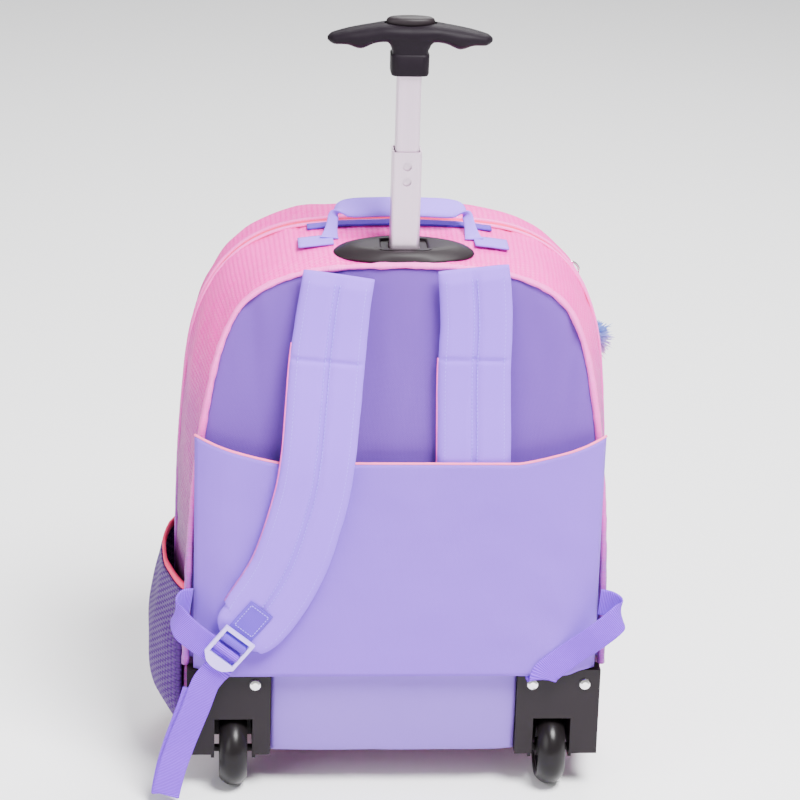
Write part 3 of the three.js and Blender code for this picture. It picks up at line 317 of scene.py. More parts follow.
class Graph:
    """Node graph of one material, with short ways of adding nodes."""

    def __init__(self, name: str) -> None:
        """Starts a material of that name with its shader and output.

        Args:
            name: the material's name.
        """
        self.material = bpy.data.materials.new(name)
        self.material.use_nodes = True
        self.nodes = self.material.node_tree.nodes
        self.links = self.material.node_tree.links
        self.shader = self.nodes["Principled BSDF"]

    def add(self, kind: str, inputs: dict | None = None, **settings: object) -> bpy.types.Node:
        """Adds a node.

        Args:
            kind: the node's type without its ShaderNode prefix.
            inputs: value or output socket for each named or numbered input.
            settings: the node's own settings.

        Returns:
            The node.
        """
        made = self.nodes.new("ShaderNode" + kind)
        for key, value in settings.items():
            setattr(made, key, value)
        for key, value in (inputs or {}).items():
            self.feed(made.inputs[key], value)
        return made

    def feed(self, socket: bpy.types.NodeSocket, value: object) -> None:
        """Links an output to a socket, or sets the socket's own value.

        Args:
            socket: the input.
            value: an output socket or a plain value.
        """
        if isinstance(value, bpy.types.NodeSocket):
            self.links.new(value, socket)
        else:
            socket.default_value = value

    def math(self, operation: str, a: object, b: object = 0.0, clamp: bool = False) -> bpy.types.NodeSocket:
        """Result of a Math node."""
        return self.add("Math", {0: a, 1: b}, operation=operation, use_clamp=clamp).outputs[0]

    def mix(self, share: object, a: object, b: object, blend: str = "MIX") -> bpy.types.NodeSocket:
        """Colour mixed from a to b by a share.

        Args:
            share: how much of b shows.
            a: first colour.
            b: second colour.
            blend: how they are mixed.

        Returns:
            The node's output.
        """
        made = self.add("Mix", data_type="RGBA", blend_type=blend)
        self.feed(made.inputs[0], share)
        self.feed(made.inputs[6], a)
        self.feed(made.inputs[7], b)
        return made.outputs[2]

    def ramp(self, share: object, stops: Sequence[tuple[float, Sequence[float]]]) -> bpy.types.NodeSocket:
        """Colour ramp with stops of (place, colour).

        Args:
            share: place on the ramp.
            stops: places from 0 to 1 with their colours.

        Returns:
            The node's output.
        """
        made = self.add("ValToRGB")
        self.feed(made.inputs[0], share)
        ramp = made.color_ramp
        while len(ramp.elements) < len(stops):
            ramp.elements.new(0.5)
        for element, (place, colour) in zip(ramp.elements, stops):
            element.position = place
            element.color = tuple(colour)[:3] + (1.0,)
        return made.outputs[0]

    def cloth(self) -> tuple[bpy.types.NodeSocket, bpy.types.NodeSocket]:
        """The cloth's own coordinates, in metres."""
        parts = self.add("SeparateXYZ", {0: self.add("UVMap", uv_map="cloth").outputs[0]})
        return parts.outputs[0], parts.outputs[1]

    def space(self) -> bpy.types.NodeSocket:
        """Object coordinates, in metres of the frame."""
        return self.add("TexCoord").outputs["Object"]

    def cloud(self, scale: float, detail: float = 3.0, rough: float = 0.5) -> bpy.types.NodeSocket:
        """Soft noise over the surface."""
        inputs = {"Vector": self.space(), "Scale": scale, "Detail": detail, "Roughness": rough}
        made = self.add("TexNoise", inputs)
        return made.outputs["Fac"]

    def bump(self, height: object, distance: float, strength: float = 1.0) -> bpy.types.NodeSocket:
        """Normal that follows a height, in metres, stacked on what the shader has already.

        Args:
            height: the height from 0 to 1.
            distance: its full depth in metres.
            strength: how much of it shows.

        Returns:
            The node's output.
        """
        made = self.add("Bump", {"Height": height, "Distance": distance, "Strength": strength})
        before = self.shader.inputs["Normal"]
        if before.is_linked:
            self.links.new(before.links[0].from_socket, made.inputs["Normal"])
        self.links.new(made.outputs[0], before)
        return made.outputs[0]

    def put(self, **values: object) -> None:
        """Sets the shader's inputs, spaces written as underscores."""
        for key, value in values.items():
            self.feed(self.shader.inputs[key.replace("_", " ")], value)


class Weave(Enum):
    """How the threads of a cloth cross."""

    PLAIN = "plain"
    BASKET = "basket"
    TWILL = "twill"
    RIBBED = "ribbed"


def linear(red: int, green: int, blue: int) -> tuple[float, float, float, float]:
    """Linear colour of a display colour given as 0 to 255."""
    shares = (red / 255, green / 255, blue / 255)
    lit = [c / 12.92 if c <= 10 / 255 else ((c + 0.055) / 1.055) ** 2.4 for c in shares]
    return (*lit, 1.0)


@dataclass(frozen=True)
class Cloth:
    """A woven cloth: colours, thread size in millimetres and how it shines."""

    name: str
    colour: tuple[float, float, float, float]
    # Darker colour: random tone patches, and painted shade in the weave's hollows
    shade: tuple[float, float, float, float]
    weave: Weave = Weave.PLAIN
    thread: float = 0.9
    depth: float = 0.12
    contrast: float = 0.35
    roughness: float = 0.85
    sheen: float = 0.08
    cloud: float = 9.0

    def pattern(self, graph: Graph) -> bpy.types.NodeSocket:
        """Height of the threads from 0 to 1.

        Args:
            graph: the material's graph.

        Returns:
            The node's output.
        """
        u, v = graph.cloth()
        turns = 2 * math.pi / (2 * self.thread * MM)
        if self.weave is Weave.RIBBED:
            return graph.math("ABSOLUTE", graph.math("SINE", graph.math("MULTIPLY", v, turns)))
        if self.weave is Weave.TWILL:
            slope = graph.math("ADD", graph.math("MULTIPLY", u, turns), graph.math("MULTIPLY", v, turns))
            cross = graph.math("SUBTRACT", graph.math("MULTIPLY", u, turns), graph.math("MULTIPLY", v, turns))
            fine = graph.math("ABSOLUTE", graph.math("SINE", cross))
            wide = graph.math("ABSOLUTE", graph.math("SINE", slope))
            return graph.math("ADD", graph.math("MULTIPLY", wide, 0.7), graph.math("MULTIPLY", fine, 0.3))
        stretch = 1.0 if self.weave is Weave.PLAIN else 0.62
        a = graph.math("SINE", graph.math("MULTIPLY", u, turns * stretch))
        b = graph.math("SINE", graph.math("MULTIPLY", v, turns))
        over = graph.math("GREATER_THAN", graph.math("MULTIPLY", a, b), 0.0)
        warp = graph.math("ABSOLUTE", a)
        weft = graph.math("ABSOLUTE", b)
        part = graph.math("MULTIPLY", over, graph.math("SUBTRACT", warp, weft))
        return graph.math("ADD", weft, part)

    def tint(self, graph: Graph) -> object:
        """Main colour of the cloth, before its threads shade it."""
        return self.colour

    def make(self) -> bpy.types.Material:
        """Builds the material.

        Returns:
            The finished material.
        """
        graph = Graph(self.name)
        height = self.pattern(graph)
        broad = graph.cloud(self.cloud)
        # Painted shade: the weave's hollows are mixed toward the darker colour
        dark = graph.math("MULTIPLY", graph.math("SUBTRACT", 1.0, height), self.contrast)
        base = graph.mix(graph.math("MULTIPLY", broad, 0.45), self.tint(graph), self.shade)
        graph.put(
            Base_Color=graph.mix(dark, base, self.shade),
            Roughness=self.roughness,
            Sheen_Weight=self.sheen,
            Sheen_Roughness=0.4,
            Specular_IOR_Level=0.2,
        )
        graph.bump(height, self.depth * MM, 0.8)
        graph.bump(graph.cloud(60.0, 2.0), 0.5 * MM, 0.35)
        return graph.material


@dataclass(frozen=True)
class ShinyCloth(Cloth):
    """Lustrous basket weave whose dye runs from pink at the crown to purple at the foot."""

    low: tuple[float, float, float, float] = linear(70, 26, 130)
    middle: tuple[float, float, float, float] = linear(186, 66, 178)

    def tint(self, graph: Graph) -> bpy.types.NodeSocket:
        """Colour that changes with height, and sooner away from the back panel; that earlier change is partly
        painted shade.

        Args:
            graph: the material's graph.

        Returns:
            The ramp's output.
        """
        parts = graph.add("SeparateXYZ", {0: graph.space()})
        # Partly painted shade: the cloth turns purple sooner away from the back panel
        lean = graph.math("MULTIPLY", parts.outputs[1], -0.2)
        drift = graph.math("MULTIPLY", graph.math("SUBTRACT", graph.cloud(14.0), 0.5), 0.05)
        height = graph.math("ADD", graph.math("ADD", parts.outputs[2], lean), drift)
        share = graph.math("DIVIDE", graph.math("SUBTRACT", height, 0.1), 0.3, clamp=True)
        stops = [(0.0, self.low), (0.34, self.low), (0.68, self.middle), (0.95, self.colour)]
        return graph.ramp(share, stops)

    def make(self) -> bpy.types.Material:
        """Builds the lustrous cloth, with painted highlights on single threads and painted shade in its
        hollows.

        Returns:
            The finished material.
        """
        graph = Graph(self.name)
        height = self.pattern(graph)
        u, v = graph.cloth()
        cell = graph.add("CombineXYZ", {0: u, 1: v})
        threads = graph.add("TexNoise", {"Vector": cell.outputs[0], "Scale": 0.35 / (self.thread * MM)})
        random = graph.math("MULTIPLY", graph.math("SUBTRACT", threads.outputs["Fac"], 0.3), 2.2, clamp=True)
        painted_glint = graph.math("MULTIPLY", random, graph.math("POWER", height, 3.0))
        base = self.tint(graph)
        # Painted shade: the weave's hollows are mixed toward a darker colour
        dark = graph.math("MULTIPLY", graph.math("SUBTRACT", 1.0, height), self.contrast)
        shaded = graph.mix(dark, base, graph.mix(0.55, base, self.shade))
        # Painted highlight: glints on single thread tops are mixed toward a pale pink
        painted_highlight = graph.math("MULTIPLY", painted_glint, 0.2)
        graph.put(
            Base_Color=graph.mix(painted_highlight, shaded, linear(255, 196, 226)),
            Roughness=graph.math("SUBTRACT", self.roughness, graph.math("MULTIPLY", painted_glint, 0.18)),
            Sheen_Weight=self.sheen,
            Sheen_Roughness=0.35,
            Specular_IOR_Level=0.2,
        )
        graph.bump(height, self.depth * MM, 0.9)
        graph.bump(graph.cloud(45.0, 2.0), 0.8 * MM, 0.4)
        return graph.material


@dataclass(frozen=True)
class Moulded:
    """Moulded plastic or rubber with a fine grain and slight wear."""

    name: str
    colour: tuple[float, float, float, float]
    roughness: float = 0.45
    grain: float = 0.05
    scale: float = 900.0
    specular: float = 0.22
    coat: float = 0.0

    def make(self) -> bpy.types.Material:
        """Builds the material.

        Returns:
            The finished material.
        """
        graph = Graph(self.name)
        wear = graph.cloud(26.0, 4.0)
        pale = tuple(min(1.0, c * 1.35 + 0.008) for c in self.colour[:3]) + (1.0,)
        graph.put(
            Base_Color=graph.mix(graph.math("MULTIPLY", wear, 0.6), self.colour, pale),
            Roughness=graph.math("ADD", graph.math("MULTIPLY", wear, 0.16), self.roughness - 0.08),
            Specular_IOR_Level=self.specular,
            Coat_Weight=self.coat,
            Coat_Roughness=0.2,
        )
        graph.bump(graph.cloud(self.scale, 2.0), self.grain * MM, 0.6)
        return graph.material


@dataclass(frozen=True)
class Metal:
    """Plain metal, brushed along its length or polished."""

    name: str
    colour: tuple[float, float, float, float]
    roughness: float = 0.3
    brushed: bool = False
    metallic: float = 1.0

    def make(self) -> bpy.types.Material:
        """Builds the material.

        Returns:
            The finished material.
        """
        graph = Graph(self.name)
        stretch = (900.0, 900.0, 14.0) if self.brushed else (300.0, 300.0, 300.0)
        place = graph.add("Mapping", {"Vector": graph.space(), "Scale": stretch})
        streaks = graph.add("TexNoise", {"Vector": place.outputs[0], "Scale": 1.0, "Detail": 3.0})
        lines = streaks.outputs["Fac"]
        pale = tuple(min(1.0, c * 1.12) for c in self.colour[:3]) + (1.0,)
        graph.put(
            Base_Color=graph.mix(lines, self.colour, pale),
            Metallic=self.metallic,
            Roughness=graph.math("ADD", graph.math("MULTIPLY", lines, 0.14), self.roughness - 0.07),
        )
        graph.bump(lines, 0.02 * MM, 0.3)
        return graph.material


# Finishes of the backpack
SHELL = ShinyCloth(
    "shell_cloth", linear(255, 26, 184), linear(214, 0, 128), Weave.BASKET, 2.0, 0.45, 0.7, 0.56, 0.02,
    low=linear(62, 18, 104), middle=linear(170, 36, 156),
)
PANEL = Cloth("panel_cloth", linear(112, 68, 170), linear(88, 49, 150), Weave.PLAIN, 0.95, 0.14, 0.7)
COVER = Cloth("cover_cloth", linear(138, 88, 216), linear(114, 70, 198), Weave.PLAIN, 0.95, 0.12, 0.5)
STRAP = Cloth("strap_cloth", linear(154, 100, 240), linear(125, 76, 222), Weave.TWILL, 1.0, 0.14, 0.6)
HANDLE = Cloth("handle_cloth", linear(160, 116, 248), linear(126, 88, 228), Weave.PLAIN, 0.9, 0.12, 0.5)
FOOT_PANEL = Cloth(
    "foot_panel_cloth", linear(133, 97, 197), linear(114, 81, 184), Weave.PLAIN, 0.9, 0.1, 0.16, 0.5, 0.15
)
WEBBING = Cloth("webbing_cloth", linear(150, 68, 250), linear(78, 24, 178), Weave.RIBBED, 1.25, 0.5, 1.0)
DARK_WEBBING = Cloth(
    "dark_webbing_cloth", linear(112, 66, 214), linear(70, 34, 160), Weave.RIBBED, 0.9, 0.3, 0.7
)
# Same lustrous cloth as the shell, painted paler: the paleness is a painted highlight on the rounded piping,
# lips and trims
PIPING = ShinyCloth(
    "piping_satin_painted_highlight", linear(255, 92, 204), linear(240, 30, 150), Weave.BASKET, 1.2, 0.2, 0.5, 0.4, 0.03,
    low=linear(126, 54, 166), middle=linear(228, 70, 186),
)
CORAL = Cloth("coral_binding_cloth", linear(255, 60, 118), linear(214, 30, 84), Weave.RIBBED, 0.6, 0.1, 0.35)
EDGE_PINK = Cloth(
    "edge_pink_cloth", linear(255, 120, 176), linear(240, 70, 140), Weave.RIBBED, 0.6, 0.1, 0.35
)
ZIP_CLOTH = Cloth("zip_cloth", linear(255, 40, 124), linear(206, 20, 84), Weave.RIBBED, 0.7, 0.12, 0.4)
# Its very dark second colour fills the knit's holes: painted shade behind the mesh
MESH_CLOTH = Cloth(
    "pocket_mesh_cloth", linear(88, 30, 131), linear(36, 6, 77), Weave.BASKET, 2.7, 1.0, 0.9, 0.6, 0.05
)
LILAC = Moulded("lilac_plastic", linear(186, 160, 252), 0.32, 0.02, 500.0, 0.4, 0.15)
BLACK = Moulded("black_plastic", linear(20, 12, 17), 0.5, 0.05, 1100.0)
GRIP_BLACK = Moulded("grip_plastic", linear(15, 8, 16), 0.52, 0.05, 1400.0, 0.08)
RUBBER = Moulded("wheel_rubber", linear(14, 10, 12), 0.32, 0.04, 700.0, 0.16, 0.06)
HUB_BLACK = Moulded("hub_plastic", linear(18, 13, 16), 0.42, 0.04, 700.0)
TUBE = Metal("tube_aluminium", linear(214, 192, 211), 0.36, True, 0.8)
CHROME = Metal("chrome", linear(232, 230, 230), 0.14)
TEETH = Moulded("zip_teeth_plastic", linear(246, 206, 222), 0.4, 0.01, 900.0)
STRAP_THREAD = Moulded("strap_thread", linear(150, 120, 244), 0.7, 0.02, 1500.0, 0.1)
LILAC_THREAD = Moulded("lilac_thread", linear(160, 134, 236), 0.7, 0.02, 1500.0, 0.2)


@dataclass(frozen=True)
class Fur(Moulded):
    """Dyed fur, blue above and lilac pink below."""

    low: tuple[float, float, float, float] = linear(232, 90, 180)

    def make(self) -> bpy.types.Material:
        """Builds the fur's material.

        Returns:
            The finished material.
        """
        graph = Graph(self.name)
        parts = graph.add("SeparateXYZ", {0: graph.space()})
        share = graph.math("DIVIDE", graph.math("SUBTRACT", parts.outputs[2], 0.302), 0.024, clamp=True)
        mixed = graph.mix(share, self.low, self.colour)
        shade = graph.mix(graph.math("MULTIPLY", graph.cloud(160.0), 0.6), mixed, linear(190, 200, 240))
        graph.put(Base_Color=shade, Roughness=self.roughness, Sheen_Weight=0.2, Specular_IOR_Level=0.2)
        return graph.material


FUR = Fur("pompom_fur_fibre", linear(16, 84, 190), 0.9, 0.02, 900.0)

MATERIALS: dict[str, bpy.types.Material] = {}


def dress(thing: bpy.types.Object, *finishes: object) -> None:
    """Gives a piece its materials, made once for each finish.

    Args:
        thing: the piece.
        finishes: its finishes, in the order of their slots.
    """
    thing.data.materials.clear()
    for finish in finishes:
        if finish.name not in MATERIALS:
            MATERIALS[finish.name] = finish.make()
        thing.data.materials.append(MATERIALS[finish.name])


class Body:
    """Form of the fabric body: an arch that widens to the middle and closes at the front."""

    WIDTH = 346.0
    TOP = 445.0
    FLOOR = 31.0
    BACK = -82.0
    FRONT = 86.0
    # Height share, and half-width shares of the outline at the back and amidships
    ARCH = np.array(
        [
            (0, 0.6, 0.6),
            (0, 0.93, 0.93),
            (0.01, 0.98, 0.98),
            (0.035, 1, 1),
            (0.22, 0.997, 1),
            (0.41, 0.981, 0.994),
            (0.54, 0.96, 0.985),
            (0.66, 0.929, 0.965),
            (0.75, 0.893, 0.942),
            (0.82, 0.857, 0.903),
            (0.88, 0.806, 0.838),
            (0.925, 0.74, 0.755),
            (0.96, 0.625, 0.645),
            (0.985, 0.45, 0.49),
            (0.996, 0.24, 0.27),
            (1, 0, 0),
        ]
    )
    # Depth share, width share, height share, and how far the outline has turned into the middle's
    DEPTHS = np.array(
        [
            (0, 0.925, 0.964, 0),
            (0.015, 0.954, 0.981, 0),
            (0.12, 0.968, 0.987, 0.3),
            (0.3, 0.99, 0.992, 0.8),
            (0.55, 1, 0.998, 1),
            (0.75, 0.993, 1, 1),
            (0.88, 0.968, 0.99, 0.9),
            (0.95, 0.93, 0.971, 0.6),
            (0.985, 0.89, 0.947, 0.4),
            (1, 0.83, 0.91, 0.3),
        ]
    )

    def at(self, y: float) -> tuple[float, float, float]:
        """Half width, crown height and fullness at a depth."""
        deep = (y - self.BACK) / (self.FRONT - self.BACK)
        wide, high, full = (np.interp(deep, self.DEPTHS[:, 0], self.DEPTHS[:, k]) for k in (1, 2, 3))
        return wide * self.WIDTH / 2, self.FLOOR + high * (self.TOP - self.FLOOR), full

    def side(self, half: float, top: float, full: float, count: int) -> np.ndarray:
        """Right side of an outline from the floor to the crown, evenly spaced.

        Args:
            half: half width in millimetres.
            top: height of the crown.
            full: how far the outline has turned into the middle's.
            count: number of points.

        Returns:
            A count by 2 array of x and z.
        """
        rows = smooth(self.ARCH[1:], 160)
        across = (rows[:, 1] + (rows[:, 2] - rows[:, 1]) * full) * half
        up = self.FLOOR + np.clip(rows[:, 0], 0, 1) * (top - self.FLOOR)
        run = np.concatenate([[0], np.cumsum(np.hypot(np.diff(across), np.diff(up)))])
        place = np.linspace(0, run[-1], count)
        return np.stack([np.interp(place, run, across), np.interp(place, run, up)], axis=1)

    def ring(self, y: float, shape: tuple[float, float, float] | None = None, count: int = 110) -> np.ndarray:
        """Closed outline at a depth: floor from left to right, right side, crown and left side.

        Args:
            y: the depth.
            shape: half width, crown and fullness, or None for the body's own.
            count: points on each side.

        Returns:
            An array of x, y, z.
        """
        half, top, full = shape or self.at(y)
        right = self.side(half, top, full, count)
        left = right[-2::-1] * [-1, 1]
        floor = np.stack([np.linspace(-1, 1, 22)[1:-1] * right[0, 0], np.full(20, self.FLOOR)], axis=1)
        flat = np.concatenate([floor, right, left])
        return np.stack([flat[:, 0], np.full(len(flat), y), flat[:, 1]], axis=1)

    def flank(self, y: float, z: float) -> float:
        """Half width of the body at a depth and height.

        Args:
            y: the depth.
            z: the height.

        Returns:
            The half width in millimetres.
        """
        half, top, full = self.at(y)
        up = (z - self.FLOOR) / (top - self.FLOOR)
        panel, middle = (np.interp(up, self.ARCH[1:, 0], self.ARCH[1:, k]) for k in (1, 2))
        return half * (panel + (middle - panel) * full)

    def crown(self, x: float, y: float) -> float:
        """Height of the body's top at a place.

        Args:
            x: the place across.
            y: the depth.

        Returns:
            The height in millimetres.
        """
        half, top, full = self.at(y)
        rows = self.ARCH[:7:-1]
        across = rows[:, 1] + (rows[:, 2] - rows[:, 1]) * full
        return self.FLOOR + (top - self.FLOOR) * np.interp(abs(x) / half, across, rows[:, 0])


BODY = Body()


def cutter(name: str, points: Sequence[Point], faces: Sequence[Sequence[int]]) -> bpy.types.Object:
    """Helper solid that is cut from a piece or joined to it, from points in millimetres.

    Args:
        name: the helper's name.
        points: its corners.
        faces: lists of point numbers.

    Returns:
        The helper object.
    """
    mesh = bpy.data.meshes.new(name)
    mesh.from_pydata(PLACE.metres(np.array(points)).tolist(), [], faces)
    helper = bpy.data.objects.new(name, mesh)
    bpy.context.scene.collection.objects.link(helper)
    mend_normals(helper)
    return helper


def block(low: Point, high: Point, name: str = "block") -> bpy.types.Object:
    """Plain block between two corners in the bag's frame, as a helper.

    Args:
        low: lowest corner in millimetres.
        high: highest corner.
        name: the helper's name.

    Returns:
        The helper object.
    """
    spans = list(zip(low, high))
    corners = np.array([(x, y, z) for x in spans[0] for y in spans[1] for z in spans[2]])
    faces = [(0, 1, 3, 2), (4, 6, 7, 5), (0, 4, 5, 1), (2, 3, 7, 6), (0, 2, 6, 4), (1, 5, 7, 3)]
    mesh = bpy.data.meshes.new(name)
    mesh.from_pydata(PLACE.metres(corners).tolist(), [], faces)
    helper = bpy.data.objects.new(name, mesh)
    bpy.context.scene.collection.objects.link(helper)
    mend_normals(helper)
    return helper


def settle(thing: bpy.types.Object) -> None:
    """Applies a piece's modifiers to its mesh.

    Args:
        thing: the piece.
    """
    graph = bpy.context.evaluated_depsgraph_get()
    graph.update()
    made = bpy.data.meshes.new_from_object(thing.evaluated_get(graph), depsgraph=graph)
    thing.modifiers.clear()
    old = thing.data
    thing.data = made
    bpy.data.meshes.remove(old)


def combine(thing: bpy.types.Object, helper: bpy.types.Object, operation: str = "DIFFERENCE") -> None:
    """Cuts a helper out of a piece, or joins it on, and removes the helper.

    Args:
        thing: the piece.
        helper: the solid to cut with or to add.
        operation: DIFFERENCE or UNION.
    """
    change = thing.modifiers.new("combine", "BOOLEAN")
    change.operation = operation
    change.solver = "EXACT"
    change.object = helper
    settle(thing)
    mesh = helper.data
    bpy.data.objects.remove(helper)
    bpy.data.meshes.remove(mesh)


@dataclass
class Shell:
    """Fabric body in two halves with the zip's tape between them, and satin piping at both edges."""

    zip_middle: float = 10.0
    zip_half: float = 5.5
    wall: float = 2.4
    panel_half: float = 165.0
    panel_top: float = 437.0
    piping: float = 3.7
    well: tuple[float, float, float] = (126.5, 18.2, 65.0)
    lining: tuple[float, float] = (-78.6, -45.6)
    lining_drop: float = 8.0
    lining_gap: float = 0.45
    tape_lap: float = 1.2
    tooth: tuple[float, float, float] = (0.55, 1.9, 0.6)
    tooth_pitch: float = 1.9

    def pucker(self, y: float, seams: Sequence[float], points: np.ndarray, run: np.ndarray) -> np.ndarray:
        """How far the cloth stands out at a depth: dents, and small gathers beside the seams.

        Args:
            y: the depth of the ring.
            seams: depths of the seams that gather the cloth.
            points: the ring's points.
            run: length along the ring of each point.

        Returns:
            Outward shift of each point in millimetres.
        """
        near = sum(math.exp(-(((y - seam) / 9.0) ** 2)) for seam in seams)
        shift = np.zeros(len(points))
        for k, (point, s) in enumerate(zip(points, run)):
            dent = ripple(point[0], y * 1.6, point[2], 62.0, 3.0)
            fold = ripple(s, y * 0.35, 0.0, 11.0, 7.0)
            crease = ripple(s, y * 0.9, 0.0, 26.0, 11.0)
            shift[k] = 2.2 * min(dent, 0.35) + (0.25 + 1.5 * near) * fold * 0.8 + 1.3 * min(crease, 0.4)
        return shift * step(BODY.FLOOR, BODY.FLOOR + 26, points[:, 2])

    def band(self, depths: Sequence[float], seams: Sequence[float]) -> list[np.ndarray]:
        """Puckered rings of the gusset at some depths.

        Args:
            depths: depth of each ring.
            seams: depths of the seams that gather it.

        Returns:
            The rings.
        """
        rings = []
        for y in depths:
            ring = BODY.ring(y)
            ahead = np.roll(ring, -1, axis=0) - np.roll(ring, 1, axis=0)
            out = np.stack([ahead[:, 2], np.zeros(len(ring)), -ahead[:, 0]], axis=1)
            out /= np.linalg.norm(out, axis=1)[:, None]
            run = distances(ring)
            rings.append(ring + out * self.pucker(y, seams, ring, run)[:, None])
        return rings

    def wall_rings(self, ring: np.ndarray, bulge: float, outward: float) -> list[np.ndarray]:
        """Rings that close a wall inside an edge ring, from its middle to near the edge.

        Args:
            ring: the wall's edge.
            bulge: how far its middle stands out.
            outward: -1 for the back and 1 for the front.

        Returns:
            The rings, from the middle.
        """
        middle = np.array([0.0, ring[0, 1], 225.0])
        rings = []
        for share in (0.004, 0.1, 0.2, 0.32, 0.44, 0.56, 0.67, 0.77, 0.86, 0.93, 0.975):
            flat = middle + (ring - middle) * share
            lift = np.array([ripple(p[0], 40.0 * outward, p[2], 74.0, 5.0) for p in flat])
            fold = np.array([ripple(p[0], 90.0, p[2] * 0.3, 30.0, 2.0) for p in flat])
            edge = (1 - share**6) * (1 - 0.3 * share)
            flat[:, 1] += outward * edge * (bulge + 2.0 * lift + 1.2 * fold)
            rings.append(flat)
        return rings

    def half(
        self, name: str, wall: list[np.ndarray], band: list[np.ndarray], finish: Cloth
    ) -> bpy.types.Object:
        """Cloth shell through the rings of its wall and of its gusset, open at the last ring.

        Args:
            name: the piece's name.
            wall: the wall's rings.
            band: the gusset's rings.
            finish: its cloth.

        Returns:
            The piece.
        """
        rings = [*wall, *band]
        grid = np.array(rings)
        columns = grid.shape[1]
        closed = np.concatenate([grid, grid[:, :1]], axis=1)
        across, along = lengths(closed)
        weave = np.stack([np.broadcast_to(across[-1], along.shape), along], axis=2)[:, :-1].copy()
        weave[: len(wall)] = grid[: len(wall)][:, :, [0, 2]] * MM
        uvs = weave.reshape(-1, 2)
        faces = grid_faces(len(rings), columns, looped=True)
        faces.append(tuple(range(columns)))
        thing = piece(name, grid.reshape(-1, 3), faces, uvs, slot="shell_fabric")
        mend_normals(thing)
        thick = thing.modifiers.new("wall", "SOLIDIFY")
        thick.thickness = self.wall * MM
        thick.offset = -1
        settle(thing)
        dress(thing, finish)
        return thing

    def rear(self) -> bpy.types.Object:
        """Rear half: back wall, and the gusset as far as the zip.

        Returns:
            The piece.
        """
        edge = self.zip_middle - self.zip_half
        depths = [-79.5, -76, -72, -68, -63, -57, -50, -42, -33, -24, -15, -7, -2, 1.5, edge - 0.6]
        band = self.band(depths, (-82.0, edge))
        start = BODY.ring(BODY.BACK)
        shell = self.half("shell_rear_cloth", self.wall_rings(start, 0.0, -1.0), [start, *band], SHELL)
        middle, reach, top = self.well
        for side in (-1, 1):
            low = (side * middle - reach, -90.0, 20.0)
            high = (side * middle + reach, -45.2, top + 2)
            combine(shell, block(low, high))
        combine(shell, block((-17.4, -74.9, 400.0), (17.4, -40.1, 460.0)))
        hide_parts("rear_shell")
        return shell

    def liner(self, side: int) -> None:
        """Black plastic lining of a wheel well, open below and to the back.

        Args:
            side: -1 for the left and 1 for the right.
        """
        middle, reach, top = self.well
        reach -= self.lining_gap
        levels = (BODY.FLOOR - self.lining_drop, top)
        points = [(side * middle + x * reach, y, z) for z in levels for x in (-1, 1) for y in self.lining]
        faces = [(0, 1, 5, 4), (1, 3, 7, 5), (3, 2, 6, 7), (4, 5, 7, 6)]
        lining = piece("well_lining_" + ("left" if side < 0 else "right"), np.array(points), faces,
                       slot="black_plastic")
        mend_normals(lining)
        thick = lining.modifiers.new("wall", "SOLIDIFY")
        thick.thickness = 1.0 * MM
        thick.offset = 1
        settle(lining)
        shade(lining, 30)
        dress(lining, BLACK)

    def front(self) -> bpy.types.Object:
        """Front half: the gusset from the zip, and the plain front wall.

        Returns:
            The piece.
        """
        edge = self.zip_middle + self.zip_half
        depths = [84.5, 82, 79, 75, 70, 64, 57, 49, 41, 33, 26, 21, 18, edge + 0.6]
        band = self.band(depths, (86.0, edge))
        start = BODY.ring(BODY.FRONT)
        shell = self.half("shell_front_cloth", self.wall_rings(start, 3.4, 1.0), [start, *band], SHELL)
        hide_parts("front_shell")
        return shell

    def zip_tape(self) -> None:
        """Tape in a shallow channel with a coiled row of teeth and two satin lips."""
        rings = []
        for share, sink in ((-1, -0.4), (-0.8, -1.0), (-0.35, -1.6), (0.35, -1.6), (0.8, -1.0), (1, -0.4)):
            y = self.zip_middle + share * (self.zip_half + self.tape_lap)
            half, top, full = BODY.at(y)
            rings.append(BODY.ring(y, (half + sink, top + sink, full)))
        grid = np.array(rings)
        grid = np.concatenate([grid, grid[:, :1]], axis=1)
        tape = sheet("zip_tape_cloth", grid, 1.4, slot="zip", replaces=["zip_tape"])
        dress(tape, ZIP_CLOTH)
        self.lip("zip_lip_rear", self.zip_middle - self.zip_half, -1)
        self.lip("zip_lip_front", self.zip_middle + self.zip_half, 1)
        self.teeth()

    def lip(self, name: str, y: float, side: int) -> None:
        """Satin lip that binds the zip's edge.

        Args:
            name: the piece's name.
            y: depth of the zip's edge.
            side: -1 for the rear lip and 1 for the front.
        """
        half, top, full = BODY.at(y)
        ring = BODY.ring(y, (half + 0.5, top + 0.5, full), 150)
        path = self.over(ring, 40.0)
        count = len(path)
        depth = np.tile([0.0, 1.0, 0.0], (count, 1))
        size = np.array([2.7 + 0.4 * ripple(p[0], 0, p[2], 9.0, side) for p in path])
        lip = strip(name, path, depth, size * 1.3, size, tube_section(10), slot="piping")
        dress(lip, PIPING)

